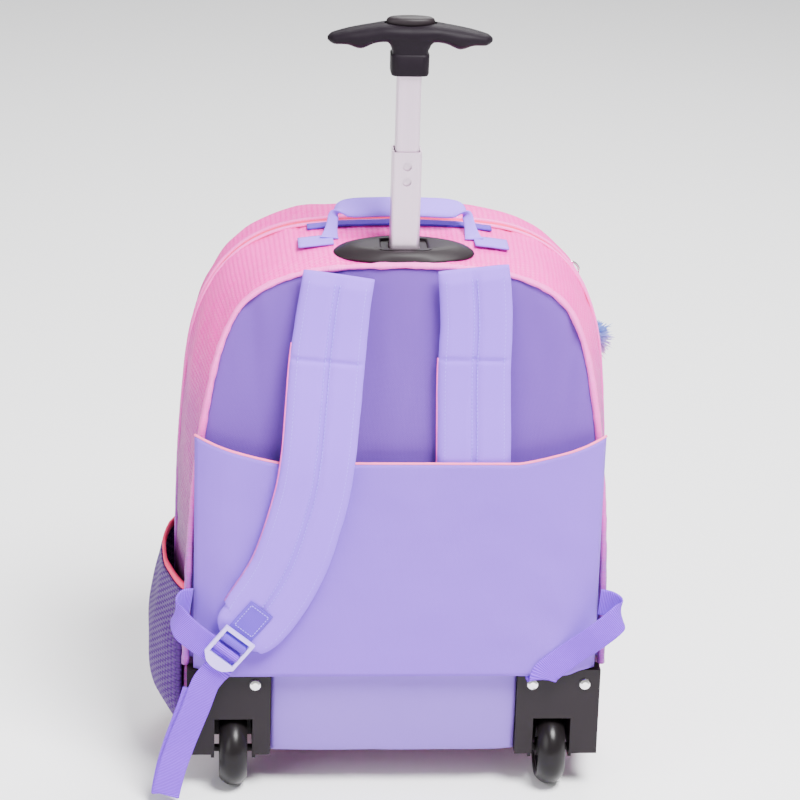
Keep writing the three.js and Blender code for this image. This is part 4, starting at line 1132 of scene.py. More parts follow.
    def teeth(self) -> None:
        """Coil of small teeth down the middle of the tape, over the crown and both shoulders."""
        half, top, full = BODY.at(self.zip_middle)
        ring = BODY.ring(self.zip_middle, (half - 0.9, top - 0.9, full), 600)
        path = self.over(ring, 60.0)
        run = distances(path)
        turns = int(run[-1] / self.tooth_pitch)
        place = np.linspace(0, run[-1], turns)
        middle = np.stack([np.interp(place, run, path[:, k]) for k in range(3)], axis=1)
        along = np.gradient(middle, axis=0)
        along /= np.linalg.norm(along, axis=1)[:, None]
        deep = np.tile([0.0, 1.0, 0.0], (turns, 1))
        out = np.cross(along, deep)
        a, b, c = self.tooth
        points = []
        faces = []
        for k in range(turns):
            for x in (-1, 1):
                for y in (-1, 1):
                    for z in (-1, 1):
                        points.append(middle[k] + along[k] * x * a + deep[k] * y * b + out[k] * z * c)
            first = 8 * k
            boxes = [(0, 1, 3, 2), (4, 6, 7, 5), (0, 4, 5, 1), (2, 3, 7, 6), (0, 2, 6, 4), (1, 5, 7, 3)]
            faces += [tuple(first + corner for corner in face) for face in boxes]
        teeth = piece("zip_teeth", np.array(points), faces, slot="zip")
        mend_normals(teeth)
        dress(teeth, TEETH)

    @staticmethod
    def over(ring: np.ndarray, foot: float) -> np.ndarray:
        """Part of a ring above a height, from the right foot over the crown to the left foot."""
        high = ring[:, 2] > foot
        first = int(np.argmax(high))
        return ring[first : first + int(high.sum())]

    def edge_piping(self) -> None:
        """Satin piping round the back panel and round the front wall."""
        y = BODY.BACK - 0.3 - self.piping * 0.87
        back = self.over(BODY.ring(y, (self.panel_half, self.panel_top, 0.0), 240), 104.5)
        self.roll("piping_back_satin", back, "back_piping", 1.0)
        y = BODY.FRONT + 0.3 + self.piping * 0.87
        half, top, full = BODY.at(BODY.BACK + 0.985 * (BODY.FRONT - BODY.BACK))
        ring = BODY.ring(y, (half - 2 * self.piping, top - 2 * self.piping, full), 240)
        self.roll("piping_front_satin", self.over(ring, BODY.FLOOR + 8), "front_piping", 0.92)

    def roll(self, name: str, path: np.ndarray, node: str, scale: float) -> None:
        """One gathered satin piping.

        Args:
            name: the piece's name.
            path: the piping's middle line.
            node: the node it stands for.
            scale: its size as a share.
        """
        depth = np.tile([0.0, 1.0, 0.0], (len(path), 1))
        low = 1.0 - step(250.0, 420.0, path[:, 2])
        puff = np.array([ripple(p[0] * 1.3, 5.0, p[2] * 1.3, 12.0, 4.0) for p in path])
        fine = np.array([ripple(p[0], 9.0, p[2], 4.5, 6.0) for p in path])
        size = 2 * self.piping * scale * (0.62 + 0.2 * low + 0.16 * puff + 0.06 * fine)
        rolled = strip(name, path, depth, size * 1.25, size, tube_section(16), slot="piping", replaces=[node])
        dress(rolled, PIPING)

    def make(self) -> None:
        """Builds the whole shell."""
        self.rear()
        for side in (-1, 1):
            self.liner(side)
        self.front()
        self.zip_tape()
        self.edge_piping()


@dataclass
class BackPanel:
    """Padded lavender panel with soft upright folds, and the panel low between the brackets."""

    half: float = 161.0
    top: float = 433.0
    pad: float = 7.6
    foot: float = 112.5
    bend: float = 380.0

    def depth(self, x: float, z: float, rim: float) -> float:
        """Depth of the panel's face.

        Args:
            x: place across in millimetres.
            z: height in millimetres.
            rim: distance to the panel's outline in millimetres.

        Returns:
            The face's y.
        """
        high = float(step(270.0, 400.0, z))
        sway = x + 9 * ripple(x, 0, z, 120.0, 1.0)
        folds = 0.9 * ripple(sway, 0, z * 0.2, 30.0, 8.0) + 0.45 * ripple(sway, 3, z * 0.3, 13.0, 9.0)
        crease = 3.0 * math.exp(-(((x - 136 + 0.10 * (430 - z)) / 5.5) ** 2)) * high
        crease += 2.2 * math.exp(-(((x + 118 - 0.05 * (430 - z)) / 6.0) ** 2)) * high
        near = 1 - math.exp(-max(rim, 0.0) / 7.0)
        shape = self.pad * (0.42 + 0.55 * near)
        return BODY.BACK - 0.3 - max(1.2, shape - crease - (1.5 + folds * 2.2) * near * (0.35 + 0.65 * high))

    def make(self) -> None:
        """Builds both panels."""
        shape = (self.half + 2.2, self.top + 2.2, 0.0)
        outline = BODY.side(*shape, 400)
        rows = []
        upper = self.bend + (self.top - self.bend + 1) * np.linspace(0, 1, 26)[1:] ** 0.8
        heights = np.concatenate([np.linspace(self.foot, self.bend, 64), upper])
        for z in heights:
            half = float(np.interp(z, outline[:, 1], outline[:, 0]))
            row = []
            for t in np.linspace(-1, 1, 90):
                u = math.sin(t * math.pi / 2) * 0.35 + t * 0.65
                x = u * half
                rim = float(np.min(np.hypot(outline[:, 0] - abs(x), outline[:, 1] - z)))
                row.append((x, self.depth(x, z, rim), z))
            rows.append(row)
        grid = np.array(rows)
        panel = sheet("back_panel_pad", grid, 1.4, slot="panel_fabric", replaces=["back_panel"])
        dress(panel, PANEL)
        self.foot_panel()

    def foot_panel(self) -> None:
        """Smooth panel between the brackets, fuller at its top, where it closes the stow pocket."""
        bulges = [
            (0.01, 0.3), (0.05, 0.58), (0.3, 0.68), (0.6, 0.71), (0.82, 0.78), (0.94, 0.98), (1.0, 0.92),
        ]
        rows = smooth(bulges, 40)
        grid = []
        for up, out in rows:
            z = 31 + up * 80.5
            row = []
            for u in np.linspace(-1, 1, 60):
                edge = 1 - 0.25 * abs(u) ** 8
                x = u * 97.0
                wave = 0.8 * ripple(x, 0, z, 38.0, 12.0) + 0.3 * ripple(x, 0, z, 11.0, 2.0)
                row.append((x, -82.3 + (-101.2 + 82.3) * out * edge + wave * (1 - up**4), z))
            grid.append(row)
        panel = sheet(
            "foot_panel_cloth_piece", np.array(grid), 1.6, slot="pale_fabric", replaces=["bottom_panel"]
        )
        dress(panel, FOOT_PANEL)


@dataclass
class StowCover:
    """Smooth panel of the stow pocket, open along its bound top and free along its hem."""

    half: float = 158.5
    side_depth: float = -93.2
    face_depth: float = -104.5
    top: float = 282.0
    rise: float = 19.0
    hem: float = 103.0

    def depth(self, u: float) -> float:
        """Depth of the cover's face at a share of its half width."""
        share = 1 - max(0.0, (abs(u) - 0.8) / 0.2) ** 2
        return self.side_depth + (self.face_depth - self.side_depth) * share

    def rim(self, u: float) -> float:
        """Height of the mouth at a share of the half width."""
        return self.top + self.rise * max(0.0, (abs(u) - 0.57) / 0.43) ** 1.25

    def foot(self, u: float) -> float:
        """Height of the hem at a share of the half width."""
        return self.hem + 2.7 * float(step(0.85, 0.93, abs(u)))

    def face(self, u: float, v: float) -> tuple[float, float, float]:
        """Point of the face at shares of its half width and height.

        Args:
            u: -1 to 1 across.
            v: 0 to 1 from the foot up.

        Returns:
            The point in millimetres.
        """
        z = self.foot(u) + v * (self.rim(u) - self.foot(u))
        x = u * self.half
        soft = 1.6 * ripple(x, 0, z * 0.7, 60.0, 4.0) + 0.7 * ripple(x * 0.7, 2, z, 24.0, 8.0)
        pull = 0.5 * math.sin(0.11 * (x * 0.8 + z)) * float(step(0.2, 0.9, u)) * float(step(0.0, 0.4, 1 - v))
        ease = min(1.0, (1 - v) * 6) * min(1.0, v * 8)
        return x, self.depth(u) + 0.5 + max(-0.2, soft + pull + 0.6) * ease, z

    def make(self) -> None:
        """Builds the cover and its binding."""
        grid = np.array([[self.face(u, v) for u in np.linspace(-1, 1, 100)] for v in np.linspace(0, 1, 56)])
        cover = sheet("stow_cover_cloth", grid, 2.2, slot="pale_fabric", replaces=["stow_cover"])
        dress(cover, COVER)
        u = np.linspace(-1, 1, 160)
        path = np.array([(k * self.half, self.depth(k) + 1.5, self.rim(k) + 0.7) for k in u])
        count = len(path)
        depth = np.tile([0.0, 1.0, 0.0], (count, 1))
        size = np.array([2.1 + 0.25 * ripple(p[0], 0, 0, 6.0, 2.0) for p in path])
        edge = strip("cover_edge_binding", path, depth, size, size, tube_section(10),
                     slot="coral_binding", replaces=["cover_binding"])
        dress(edge, EDGE_PINK)


def resample(points: np.ndarray, count: int) -> np.ndarray:
    """Points at even distances on a smooth curve through a path.

    Args:
        points: n by k array.
        count: how many points to return.

    Returns:
        A count by k array.
    """
    fine = smooth(points, 30 * len(points))
    run = np.concatenate([[0], np.cumsum(np.linalg.norm(np.diff(fine[:, :3], axis=0), axis=1))])
    place = np.linspace(0, run[-1], count)
    return np.stack([np.interp(place, run, fine[:, k]) for k in range(fine.shape[1])], axis=1)


@dataclass
class Straps:
    """Two padded shoulder straps: one over the stow pocket, the other into it."""

    width: float = 57.0
    thick: float = 10.0
    floor: float = 31.0
    inner: float = -95.5
    outer: float = -110.1
    left_top: tuple[float, float] = (-50.8, 432.5)
    right_top: tuple[float, float] = (50.0, 439.0)
    right_foot: float = 152.0
    # Share across, share of height, how far out, and share of width
    left_rows: Rows = (
        (0, 1, 0, 0.95),
        (-0.009, 0.934, 0.06, 0.965),
        (-0.019, 0.836, 0.28, 1),
        (-0.026, 0.736, 0.7, 1),
        (-0.034, 0.638, 1, 0.99),
        (-0.049, 0.546, 1.02, 1),
        (-0.089, 0.414, 1.02, 1.01),
        (-0.148, 0.313, 1, 1),
        (-0.18, 0.282, 1, 0.8),
        (-0.195, 0.266, 1, 0.45),
    )
    right_rows: Rows = (
        (0, 1, 0.18, 0.94),
        (0.008, 0.93, 0.05, 0.96),
        (0.014, 0.84, 0, 0.96),
        (0.013, 0.7, 0, 0.98),
        (0.02, 0.5, 0, 1),
        (0.026, 0.2, 0, 0.98),
        (0.03, 0, 0, 0.7),
    )

    def stations(self, rows: Rows, top: tuple[float, float], foot: float, count: int) -> np.ndarray:
        """Middles and widths along a strap.

        Args:
            rows: the strap's table.
            top: its top end's x and z.
            foot: height that the shares count from.
            count: number of stations.

        Returns:
            A count by 4 array of x, y, z and width.
        """
        height = top[1] - foot
        table = np.array(rows, float)
        made = np.stack(
            [
                top[0] + table[:, 0] * height,
                self.inner + (self.outer - self.inner) * table[:, 2],
                foot + table[:, 1] * height,
                table[:, 3] * self.width,
            ],
            axis=1,
        )
        return resample(made, count)

    def pad(self, name: str, node: str, rows: np.ndarray, cross_seam: float) -> bpy.types.Object:
        """One padded strap with its quilting seams.

        Args:
            name: the piece's name.
            node: the node it stands for.
            rows: stations of the strap.
            cross_seam: height of the seam across it.

        Returns:
            The piece.
        """
        columns = 25
        section = pad_section(columns, 0.34, 0.5)
        path = rows[:, :3]
        across = np.tile([1.0, 0.0, 0.0], (len(rows), 1))
        run = distances(path)
        seam = np.exp(-(((path[:, 2] - cross_seam) / 1.7) ** 2))
        ends = np.minimum(1.0, 0.35 + 0.65 * np.minimum(run, run[-1] - run) / 9.0)
        soft = np.array([1 + 0.05 * ripple(0, 3, s, 17.0, 3.0) for s in run])
        thick = self.thick * ends * soft * (1 - 0.34 * seam)
        width = rows[:, 3] * (1 + 0.008 * np.array([ripple(0, 8, s, 13.0, 5.0) for s in run]))
        strap = strip(name, path, across, width, thick, section, slot="pale_fabric", replaces=[node])
        dress(strap, STRAP)
        return strap

    def trim(self, name: str, rows: np.ndarray, side: int, first: int, last: int) -> None:
        """Thin binding along a strap's edge.

        Args:
            name: the piece's name.
            rows: stations of the strap.
            side: edge that is bound, -1 or 1.
            first: first station.
            last: last station.
        """
        along = np.gradient(rows[:, :3], axis=0)
        along /= np.linalg.norm(along, axis=1)[:, None]
        across = np.tile([1.0, 0.0, 0.0], (len(rows), 1))
        across -= along * np.sum(across * along, axis=1)[:, None]
        across /= np.linalg.norm(across, axis=1)[:, None]
        path = (rows[:, :3] + side * across * (rows[:, 3:] / 2 - 0.2))[first:last]
        size = np.full(len(path), 2.3)
        depth = np.tile([0.0, 1.0, 0.0], (len(path), 1))
        edge = strip(name, path, depth, size, size, tube_section(8), slot="piping")
        dress(edge, PIPING)

    def sewing(self, name: str, rows: np.ndarray) -> None:
        """Rows of stitches: along both edges, either side of the middle seam, and across.

        Args:
            name: the piece's name.
            rows: stations of the strap.
        """
        path = rows[:, :3]
        along = np.gradient(path, axis=0)
        along /= np.linalg.norm(along, axis=1)[:, None]
        across = np.tile([1.0, 0.0, 0.0], (len(rows), 1))
        across -= along * np.sum(across * along, axis=1)[:, None]
        across /= np.linalg.norm(across, axis=1)[:, None]
        face = np.cross(across, along)
        face *= np.sign(-face[:, 1:2])
        run = distances(path)
        spots = []
        for share, high in ((-0.8, 0.44), (0.8, 0.44), (-0.07, 0.42), (0.07, 0.42)):
            line = path + across * (rows[:, 3:] / 2 * share) + face * self.thick * high
            for s in np.arange(8.0, run[-1] - 16, 3.1):
                at = np.array([np.interp(s, run, line[:, k]) for k in range(3)])
                way = np.array([np.interp(s, run, along[:, k]) for k in range(3)])
                spots.append((at, way / np.linalg.norm(way)))
        stitch_row(name, spots, 2.1, STRAP_THREAD)

    def make(self) -> None:
        """Builds both straps with their bound edges."""
        left = self.stations(self.left_rows, self.left_top, self.floor, 190)
        right = self.stations(self.right_rows, self.right_top, self.right_foot, 150)
        self.pad("strap_left_pad", "strap_left", left, 365.0)
        self.pad("strap_right_pad", "strap_right", right, 366.0)
        self.trim("strap_left_trim", left, -1, 34, 176)
        self.trim("strap_right_trim", right, -1, 38, 146)
        self.sewing("strap_left_stitches", left)
        self.sewing("strap_right_stitches", right)


@dataclass
class Webbing:
    """Ribbed adjuster webbing: patch, left tail through the ladder-lock buckle, and the right loop."""

    width: float = 22.0
    thick: float = 1.5
    gap: float = 0.35
    top: tuple[float, float] = (-122.0, 146.5)
    turn: float = math.radians(38.8)
    length: float = 30.0
    bar: float = 1.25
    plate: float = 3.0
    strap_face: float = -115.1
    patch: float = 26.0
    drop: float = 114.0
    cover_face: float = -104.5
    cover_back: float = -101.5
    cover_foot: float = 103.0
    seam_depth: float = -94.8

    def __post_init__(self) -> None:
        """Works out the buckle's own directions and layers."""
        self.down = np.array([-math.sin(self.turn), 0.0, -math.cos(self.turn)])
        self.across = np.array([math.cos(self.turn), 0.0, -math.sin(self.turn)])
        self.middle = self.strap_face - 2 * (self.thick + self.gap) - self.gap - self.plate / 2
        self.first = 0.29 * self.length
        self.second = 0.58 * self.length
        self.radius = self.bar + self.gap + self.thick / 2

    def at(self, along: float, y: float, side: float = 0.0) -> np.ndarray:
        """Point at a distance down the buckle from its top edge."""
        return np.array([self.top[0], y, self.top[1]]) + self.down * along + self.across * side

    def layer(self, number: int) -> float:
        """Depth of the middle of a layer of webbing lying on the strap."""
        return self.strap_face - self.gap - self.thick / 2 - number * (self.thick + self.gap)

    def section(self) -> np.ndarray:
        """Flat section with soft edges and shallow channels along both selvedges.

        Returns:
            The section's points.
        """
        u = np.linspace(-1, 1, 21)
        groove = np.exp(-(((np.abs(u) - 0.84) / 0.035) ** 2))
        high = np.clip((1 - np.abs(u)) / 0.06, 0.25, 1.0) - 0.28 * groove
        return np.concatenate([np.stack([u, -high], axis=1), np.stack([u[::-1], high[::-1]], axis=1)])

    def ribbon(
        self, name: str, path: np.ndarray, across: np.ndarray, count: int, finish: Cloth, **facts: object
    ) -> bpy.types.Object:
        """A length of webbing through a path.

        Args:
            name: the piece's name.
            path: n by 3 array of middles.
            across: n by 3 array of width directions.
            count: stations along it.
            finish: its cloth.
            facts: what piece() takes as well.

        Returns:
            The new object.
        """
        both = resample(np.concatenate([path, across], axis=1), count)
        widths = np.full(count, self.width)
        thicks = np.full(count, self.thick)
        made = strip(name, both[:, :3], both[:, 3:], widths, thicks, self.section(), **facts)
        dress(made, finish)
        return made

    def over(self, bar: float) -> list[np.ndarray]:
        """Half turn over a buckle bar.

        Args:
            bar: distance of the bar down the buckle.

        Returns:
            The points of the turn.
        """
        return [
            self.at(bar - self.radius * math.cos(a), self.middle - self.radius * math.sin(a))
            for a in np.linspace(0, math.pi, 7)
        ]

    def make_patch(self) -> None:
        """Short webbing sewn on the strap and turned over the buckle's first bar."""
        flat = self.layer(0)
        path = [
            self.at(-self.patch, flat),
            self.at(-self.patch / 2, flat),
            self.at(0, flat),
            self.at(self.first - self.radius - 2.6, flat - 0.4),
            self.at(self.first - self.radius - 0.7, flat - 2),
            *self.over(self.first),
            self.at(self.first + self.radius, self.middle + 1.2),
        ]
        across = np.tile(self.across, (len(path), 1))
        self.ribbon("strap_patch_web", np.array(path), across, 60, DARK_WEBBING, slot="dark_webbing",
                    replaces=["strap_patch"])
        self.stitches(flat - self.thick / 2 - 0.15)

    def stitches(self, y: float) -> None:
        """Box of stitches that holds the patch on the strap.

        Args:
            y: depth of the patch's face.
        """
        low, high = -self.patch + 2.5, -3.0
        half = self.width / 2 - 2.5
        corners = [(low, -half), (low, half), (high, half), (high, -half), (low, -half)]
        spots = []
        for (a, b), (c, d) in zip(corners, corners[1:]):
            count = max(3, int(math.hypot(c - a, d - b) / 2.4))
            for t in (np.arange(count) + 0.5) / count:
                way = self.down * (c - a) + self.across * (d - b)
                spots.append((self.at(a + (c - a) * t, y, b + (d - b) * t), way / np.linalg.norm(way)))
        stitch_row("patch_stitches", spots, 1.7, LILAC_THREAD)

    def left(self) -> None:
        """Tail: up through the buckle, over its second bar and down to a folded end."""
        rows = np.array([(0.02, 0.04, 1.5), (-0.07, 0.16, 1.4), (-0.13, 0.33, 1.2), (-0.23, 0.6, 1.0),
                         (-0.3, 0.82, 0.6), (-0.34, 1, 0.2)])
        start = self.at(self.length, self.layer(1))
        tail = [
            start + np.array([a * self.drop, out - 1.5, -d * self.drop]) for a, d, out in smooth(rows, 11)
        ]
        zero, one = self.layer(0), self.layer(1)
        through = [
            self.at(self.second - self.radius - 6, zero),
            self.at(self.second - self.radius - 1.2, zero - 0.3),
            self.at(self.second - self.radius - 0.1, zero - 1.8),
            *self.over(self.second),
            self.at(self.second + self.radius + 0.1, self.middle + 1.4),
            self.at(self.second + self.radius + 1.4, one - 0.1),
            self.at(self.second + self.radius + 4, one),
        ]
        fold = [
            tail[-1] + np.array([
                -0.5 * t, self.thick * (1 - math.cos(math.pi * t)), -self.thick * math.sin(math.pi * t)
            ])
            for t in (0.25, 0.5, 0.75, 1.0)
        ]
        back = [
            point + np.array([-0.8 - 0.5 * k, 2 * self.thick, 1.0]) for k, point in enumerate(tail[-2:2:-1])
        ]
        path = np.array([*through, *tail, *fold, *back])
        across = np.tile(self.across, (len(path), 1))
        across[len(through) + 2 :] = (0.93, 0.0, -0.3)
        self.ribbon("web_tail", path, across, 240, WEBBING, slot="webbing", replaces=["web_left"])
        self.arch()

    def arch(self) -> None:
        """Webbing from the left seam, out in an arch and in behind the buckle."""
        seam = np.array([-160.0, self.seam_depth, self.top[1] + 8])
        rows = [(-0.5, 0, 9, 0), (-8, -5, 10, 0.05), (-12, -13, 6, 0.15), (-6, -22, -3, 0.35),
                (5, -26, -14, 0.55), (19, -27, -24, 0.62)]
        path = np.array([seam + np.array(row[:3]) for row in rows])
        path[-1, 1] = self.layer(0)
        path[-2, 1] = self.layer(0) + 0.4
        across = np.array([(math.sin(row[3] * 1.3), 0.0, math.cos(row[3] * 1.3)) for row in rows])
        self.ribbon("web_left_arch", path, across, 60, WEBBING, slot="webbing")

    def right(self) -> None:
        """Webbing from the right seam round its loop, down the cover and up behind its hem."""
        seam = np.array([160.0, self.seam_depth, self.cover_foot + 58])
        rows = [(-0.5, 0, 2, 0), (9, -3, 1, 0), (15, -9, -2, 0.1), (11, -17, -7, 0.5), (-3, -18.6, -19, 0.75),
                (-21, -16.5, -37, 0.8), (-37, -15.4, -55, 1.0)]
        outer = self.cover_face - self.gap - self.thick / 2
        inner = self.cover_back + self.gap + self.thick / 2
        hem = seam[0] - 43
        path = [seam + np.array(row[:3]) for row in rows]
        path[-1] = np.array([hem + 4, outer, self.cover_foot + 6])
        path[-2][1] = outer
        across = [(-math.sin(row[3]), 0.0, math.cos(row[3])) for row in rows]
        for t in np.linspace(0, 1, 5):
            y = outer + (inner - outer) * (0.5 - 0.5 * math.cos(math.pi * t))
            path.append(np.array([hem - 3 * t, y, self.cover_foot - 0.2 - 2.6 * math.sin(math.pi * t)]))
            across.append((-1.0, 0.0, 0.0))
        for left, up in ((4, 9), (8, 21), (16, 38)):
            path.append(np.array([hem - left, inner, self.cover_foot + up]))
            across.append((-1.0, 0.0, 0.3))
        self.ribbon("web_right_loop", np.array(path), np.array(across), 170, WEBBING, slot="webbing",
                    replaces=["web_right"])

    def make(self) -> None:
        """Builds all the webbing."""
        self.make_patch()
        self.left()
        self.right()


def stitch_row(
    name: str, spots: Sequence[tuple[np.ndarray, np.ndarray]], length: float, finish: Moulded
) -> None:
    """Row of single stitches lying on cloth.

    Args:
        name: the piece's name.
        spots: place and direction of each stitch.
        length: length of a stitch in millimetres.
        finish: the thread's finish.
    """
    points = []
    faces = []
    ring = tube_section(6) * 0.32
    for at, way in spots:
        side = np.cross(way, (0.0, 1.0, 0.0))
        side /= np.linalg.norm(side)
        out = np.cross(side, way)
        first = len(points)
        for along, grow in ((-0.5, 0.25), (-0.32, 1), (0.32, 1), (0.5, 0.25)):
            for u, v in ring:
                points.append(at + way * along * length + side * u * grow + out * v * grow)
        faces += grid_faces(4, 6, looped=True, first=first)
        faces += [tuple(range(first, first + 6))[::-1], tuple(range(first + 18, first + 24))]
    row = piece(name, np.array(points), faces, slot="pale_fabric")
    mend_normals(row)
    dress(row, finish)


@dataclass
class SidePocket:
    """Knitted mesh pocket on the left flank, bulging, with a bound mouth."""

    foot: float = 46.0
    top: float = 166.0
    back: float = -78.0
    front: float = 60.0
    bulge: float = 19.0
    gap: float = 0.75
    wall: float = 1.6
    rows: Rows = ((0, 0.02), (0.06, 0.5), (0.16, 0.86), (0.32, 1), (0.55, 0.93), (0.78, 0.7), (1, 0.46))

    def point(self, t: float, up: float, out: float, lift: float) -> tuple[float, float, float]:
        """Point of the pocket's wall.

        Args:
            t: share along the mouth.
            up: share of the height.
            out: share of the bulge.
            lift: distance from the cloth.

        Returns:
            The point in millimetres.
        """
        y = self.back + t * (self.front - self.back)
        z = self.foot + up * (self.top - self.foot)
        swell = max(0.0, math.sin(math.pi * t)) ** 0.55
        slack = 5.0 * ripple(0, y, z, 34.0, 6.0) * swell * min(1.0, 6 * up * (1.05 - up))
        return -BODY.flank(y, z) - self.gap - lift - self.bulge * out * swell + slack * 0.6, y, z

    def make(self) -> None:
        """Builds the pocket and its binding."""
        places = smooth(self.rows, 44)
        shares = np.linspace(0, 1, 64)
        grid = np.array([[self.point(t, up, out, self.wall) for t in shares] for up, out in places])
        pocket = sheet(
            "side_pocket_mesh", grid[:, ::-1], -self.wall, slot="pocket_mesh", replaces=["side_pocket"]
        )
        dress(pocket, MESH_CLOTH)
        out = self.rows[-1][1]
        path = np.array([self.point(t, 1.0, out, self.wall / 2) for t in np.linspace(0, 1, 90)])
        path[:, 2] += 3.0 + np.array([0.7 * ripple(0, p[1], 0, 16.0, 3.0) for p in path])
        up = np.tile([0.0, 0.0, 1.0], (90, 1))
        u = np.cos(np.linspace(0, 2 * math.pi, 20, endpoint=False))
        v = np.sin(np.linspace(0, 2 * math.pi, 20, endpoint=False))
        section = np.stack([np.sign(u) * np.abs(u) ** 0.6, np.sign(v) * np.abs(v) ** 0.6], axis=1)
        edge = strip("pocket_mouth_binding", path, up, np.full(90, 6.4), np.full(90, 2.8), section,
                     slot="coral_binding", replaces=["pocket_binding"])
        dress(edge, CORAL)


@dataclass
class Crown:
    """Carrying handle, its dark base webbing and the two tabs beside it."""

    half: float = 53.0
    depth: float = -11.0
    deep: float = 24.0
    thick: float = 6.0
    rise: float = 15.0
    tilt: float = 0.32

    def handle(self) -> None:
        """Padded handle whose ends are pinched and turn down into the tabs."""
        high = BODY.crown(self.half, self.depth) + 2.1 + self.thick / 4 + self.rise
        tab = BODY.crown(56, -30) + 2.6
        side = [
            (56, -33, tab, 15, 1.6, 1.0),
            (55, -27, tab + 0.6, 12, 2.2, 1.0),
            (53.5, -20, tab + 6, 9, 3.2, 0.8),
            (51.5, -14, high - 5, 9.5, 3.6, 0.55),
            (46, -11.4, high - 0.8, 18, 4.6, 0.15),
            (36, self.depth, high, self.deep, 5.6, 0),
            (16, self.depth, high + 0.8, self.deep, self.thick, 0),
        ]
        rows = [(-x, y, z, w, t, lean, 1 - lean) for x, y, z, w, t, lean in side]
        rows.append((0, self.depth, high + 1, self.deep, self.thick, 0, 1))
        rows += [(x, y, z, w, t, -lean, 1 - lean) for x, y, z, w, t, lean in side[::-1]]
        made = resample(np.array(rows, float), 150)
        across = np.stack([made[:, 5], made[:, 6], self.tilt * made[:, 6]], axis=1)
        across /= np.linalg.norm(across, axis=1)[:, None]
        handle = strip(
            "grab_handle_pad", made[:, :3], across, made[:, 3], made[:, 4], pad_section(17, 0.5),
            slot="pale_fabric", replaces=["grab_handle"],
        )
        dress(handle, HANDLE)

    def webbing(self, name: str, node: str, span: tuple[float, float], deep: tuple[float, float], lift: float,
                finish: Cloth, slot: str) -> None:
        """Webbing lying on the crown between two depths.

        Args:
            name: the piece's name.
            node: the node it stands for.
            span: from and to across.
            deep: from and to in depth.
            lift: height over the crown.
            finish: its cloth.
            slot: the slot's name.
        """
        count = max(12, int((span[1] - span[0]) / 3))
        grid = []
        for y in np.linspace(deep[0], deep[1], 9):
            row = []
            for x in np.linspace(span[0], span[1], count):
                high = max(BODY.crown(x, y), BODY.crown(x, deep[1])) + 0.6 + lift
                row.append((x, y, high + 0.2 * ripple(x, y, 0, 9.0, 2.0)))
            grid.append(row)
        strap = sheet(name, np.array(grid), 1.5, slot=slot, replaces=[node])
        dress(strap, finish)

    def make(self) -> None:
        """Builds the handle, its base and the tabs."""
        self.handle()
        self.webbing(
            "handle_base_web", "handle_base", (-72, 72), (-8, 3.5), 1.5, DARK_WEBBING, "dark_webbing"
        )
        self.webbing("tab_left_web", "tab_left", (-80, -53), (-46, -24), 1.5, HANDLE, "pale_fabric")
        self.webbing("tab_right_web", "tab_right", (56, 82), (-46, -24), 1.5, HANDLE, "pale_fabric")


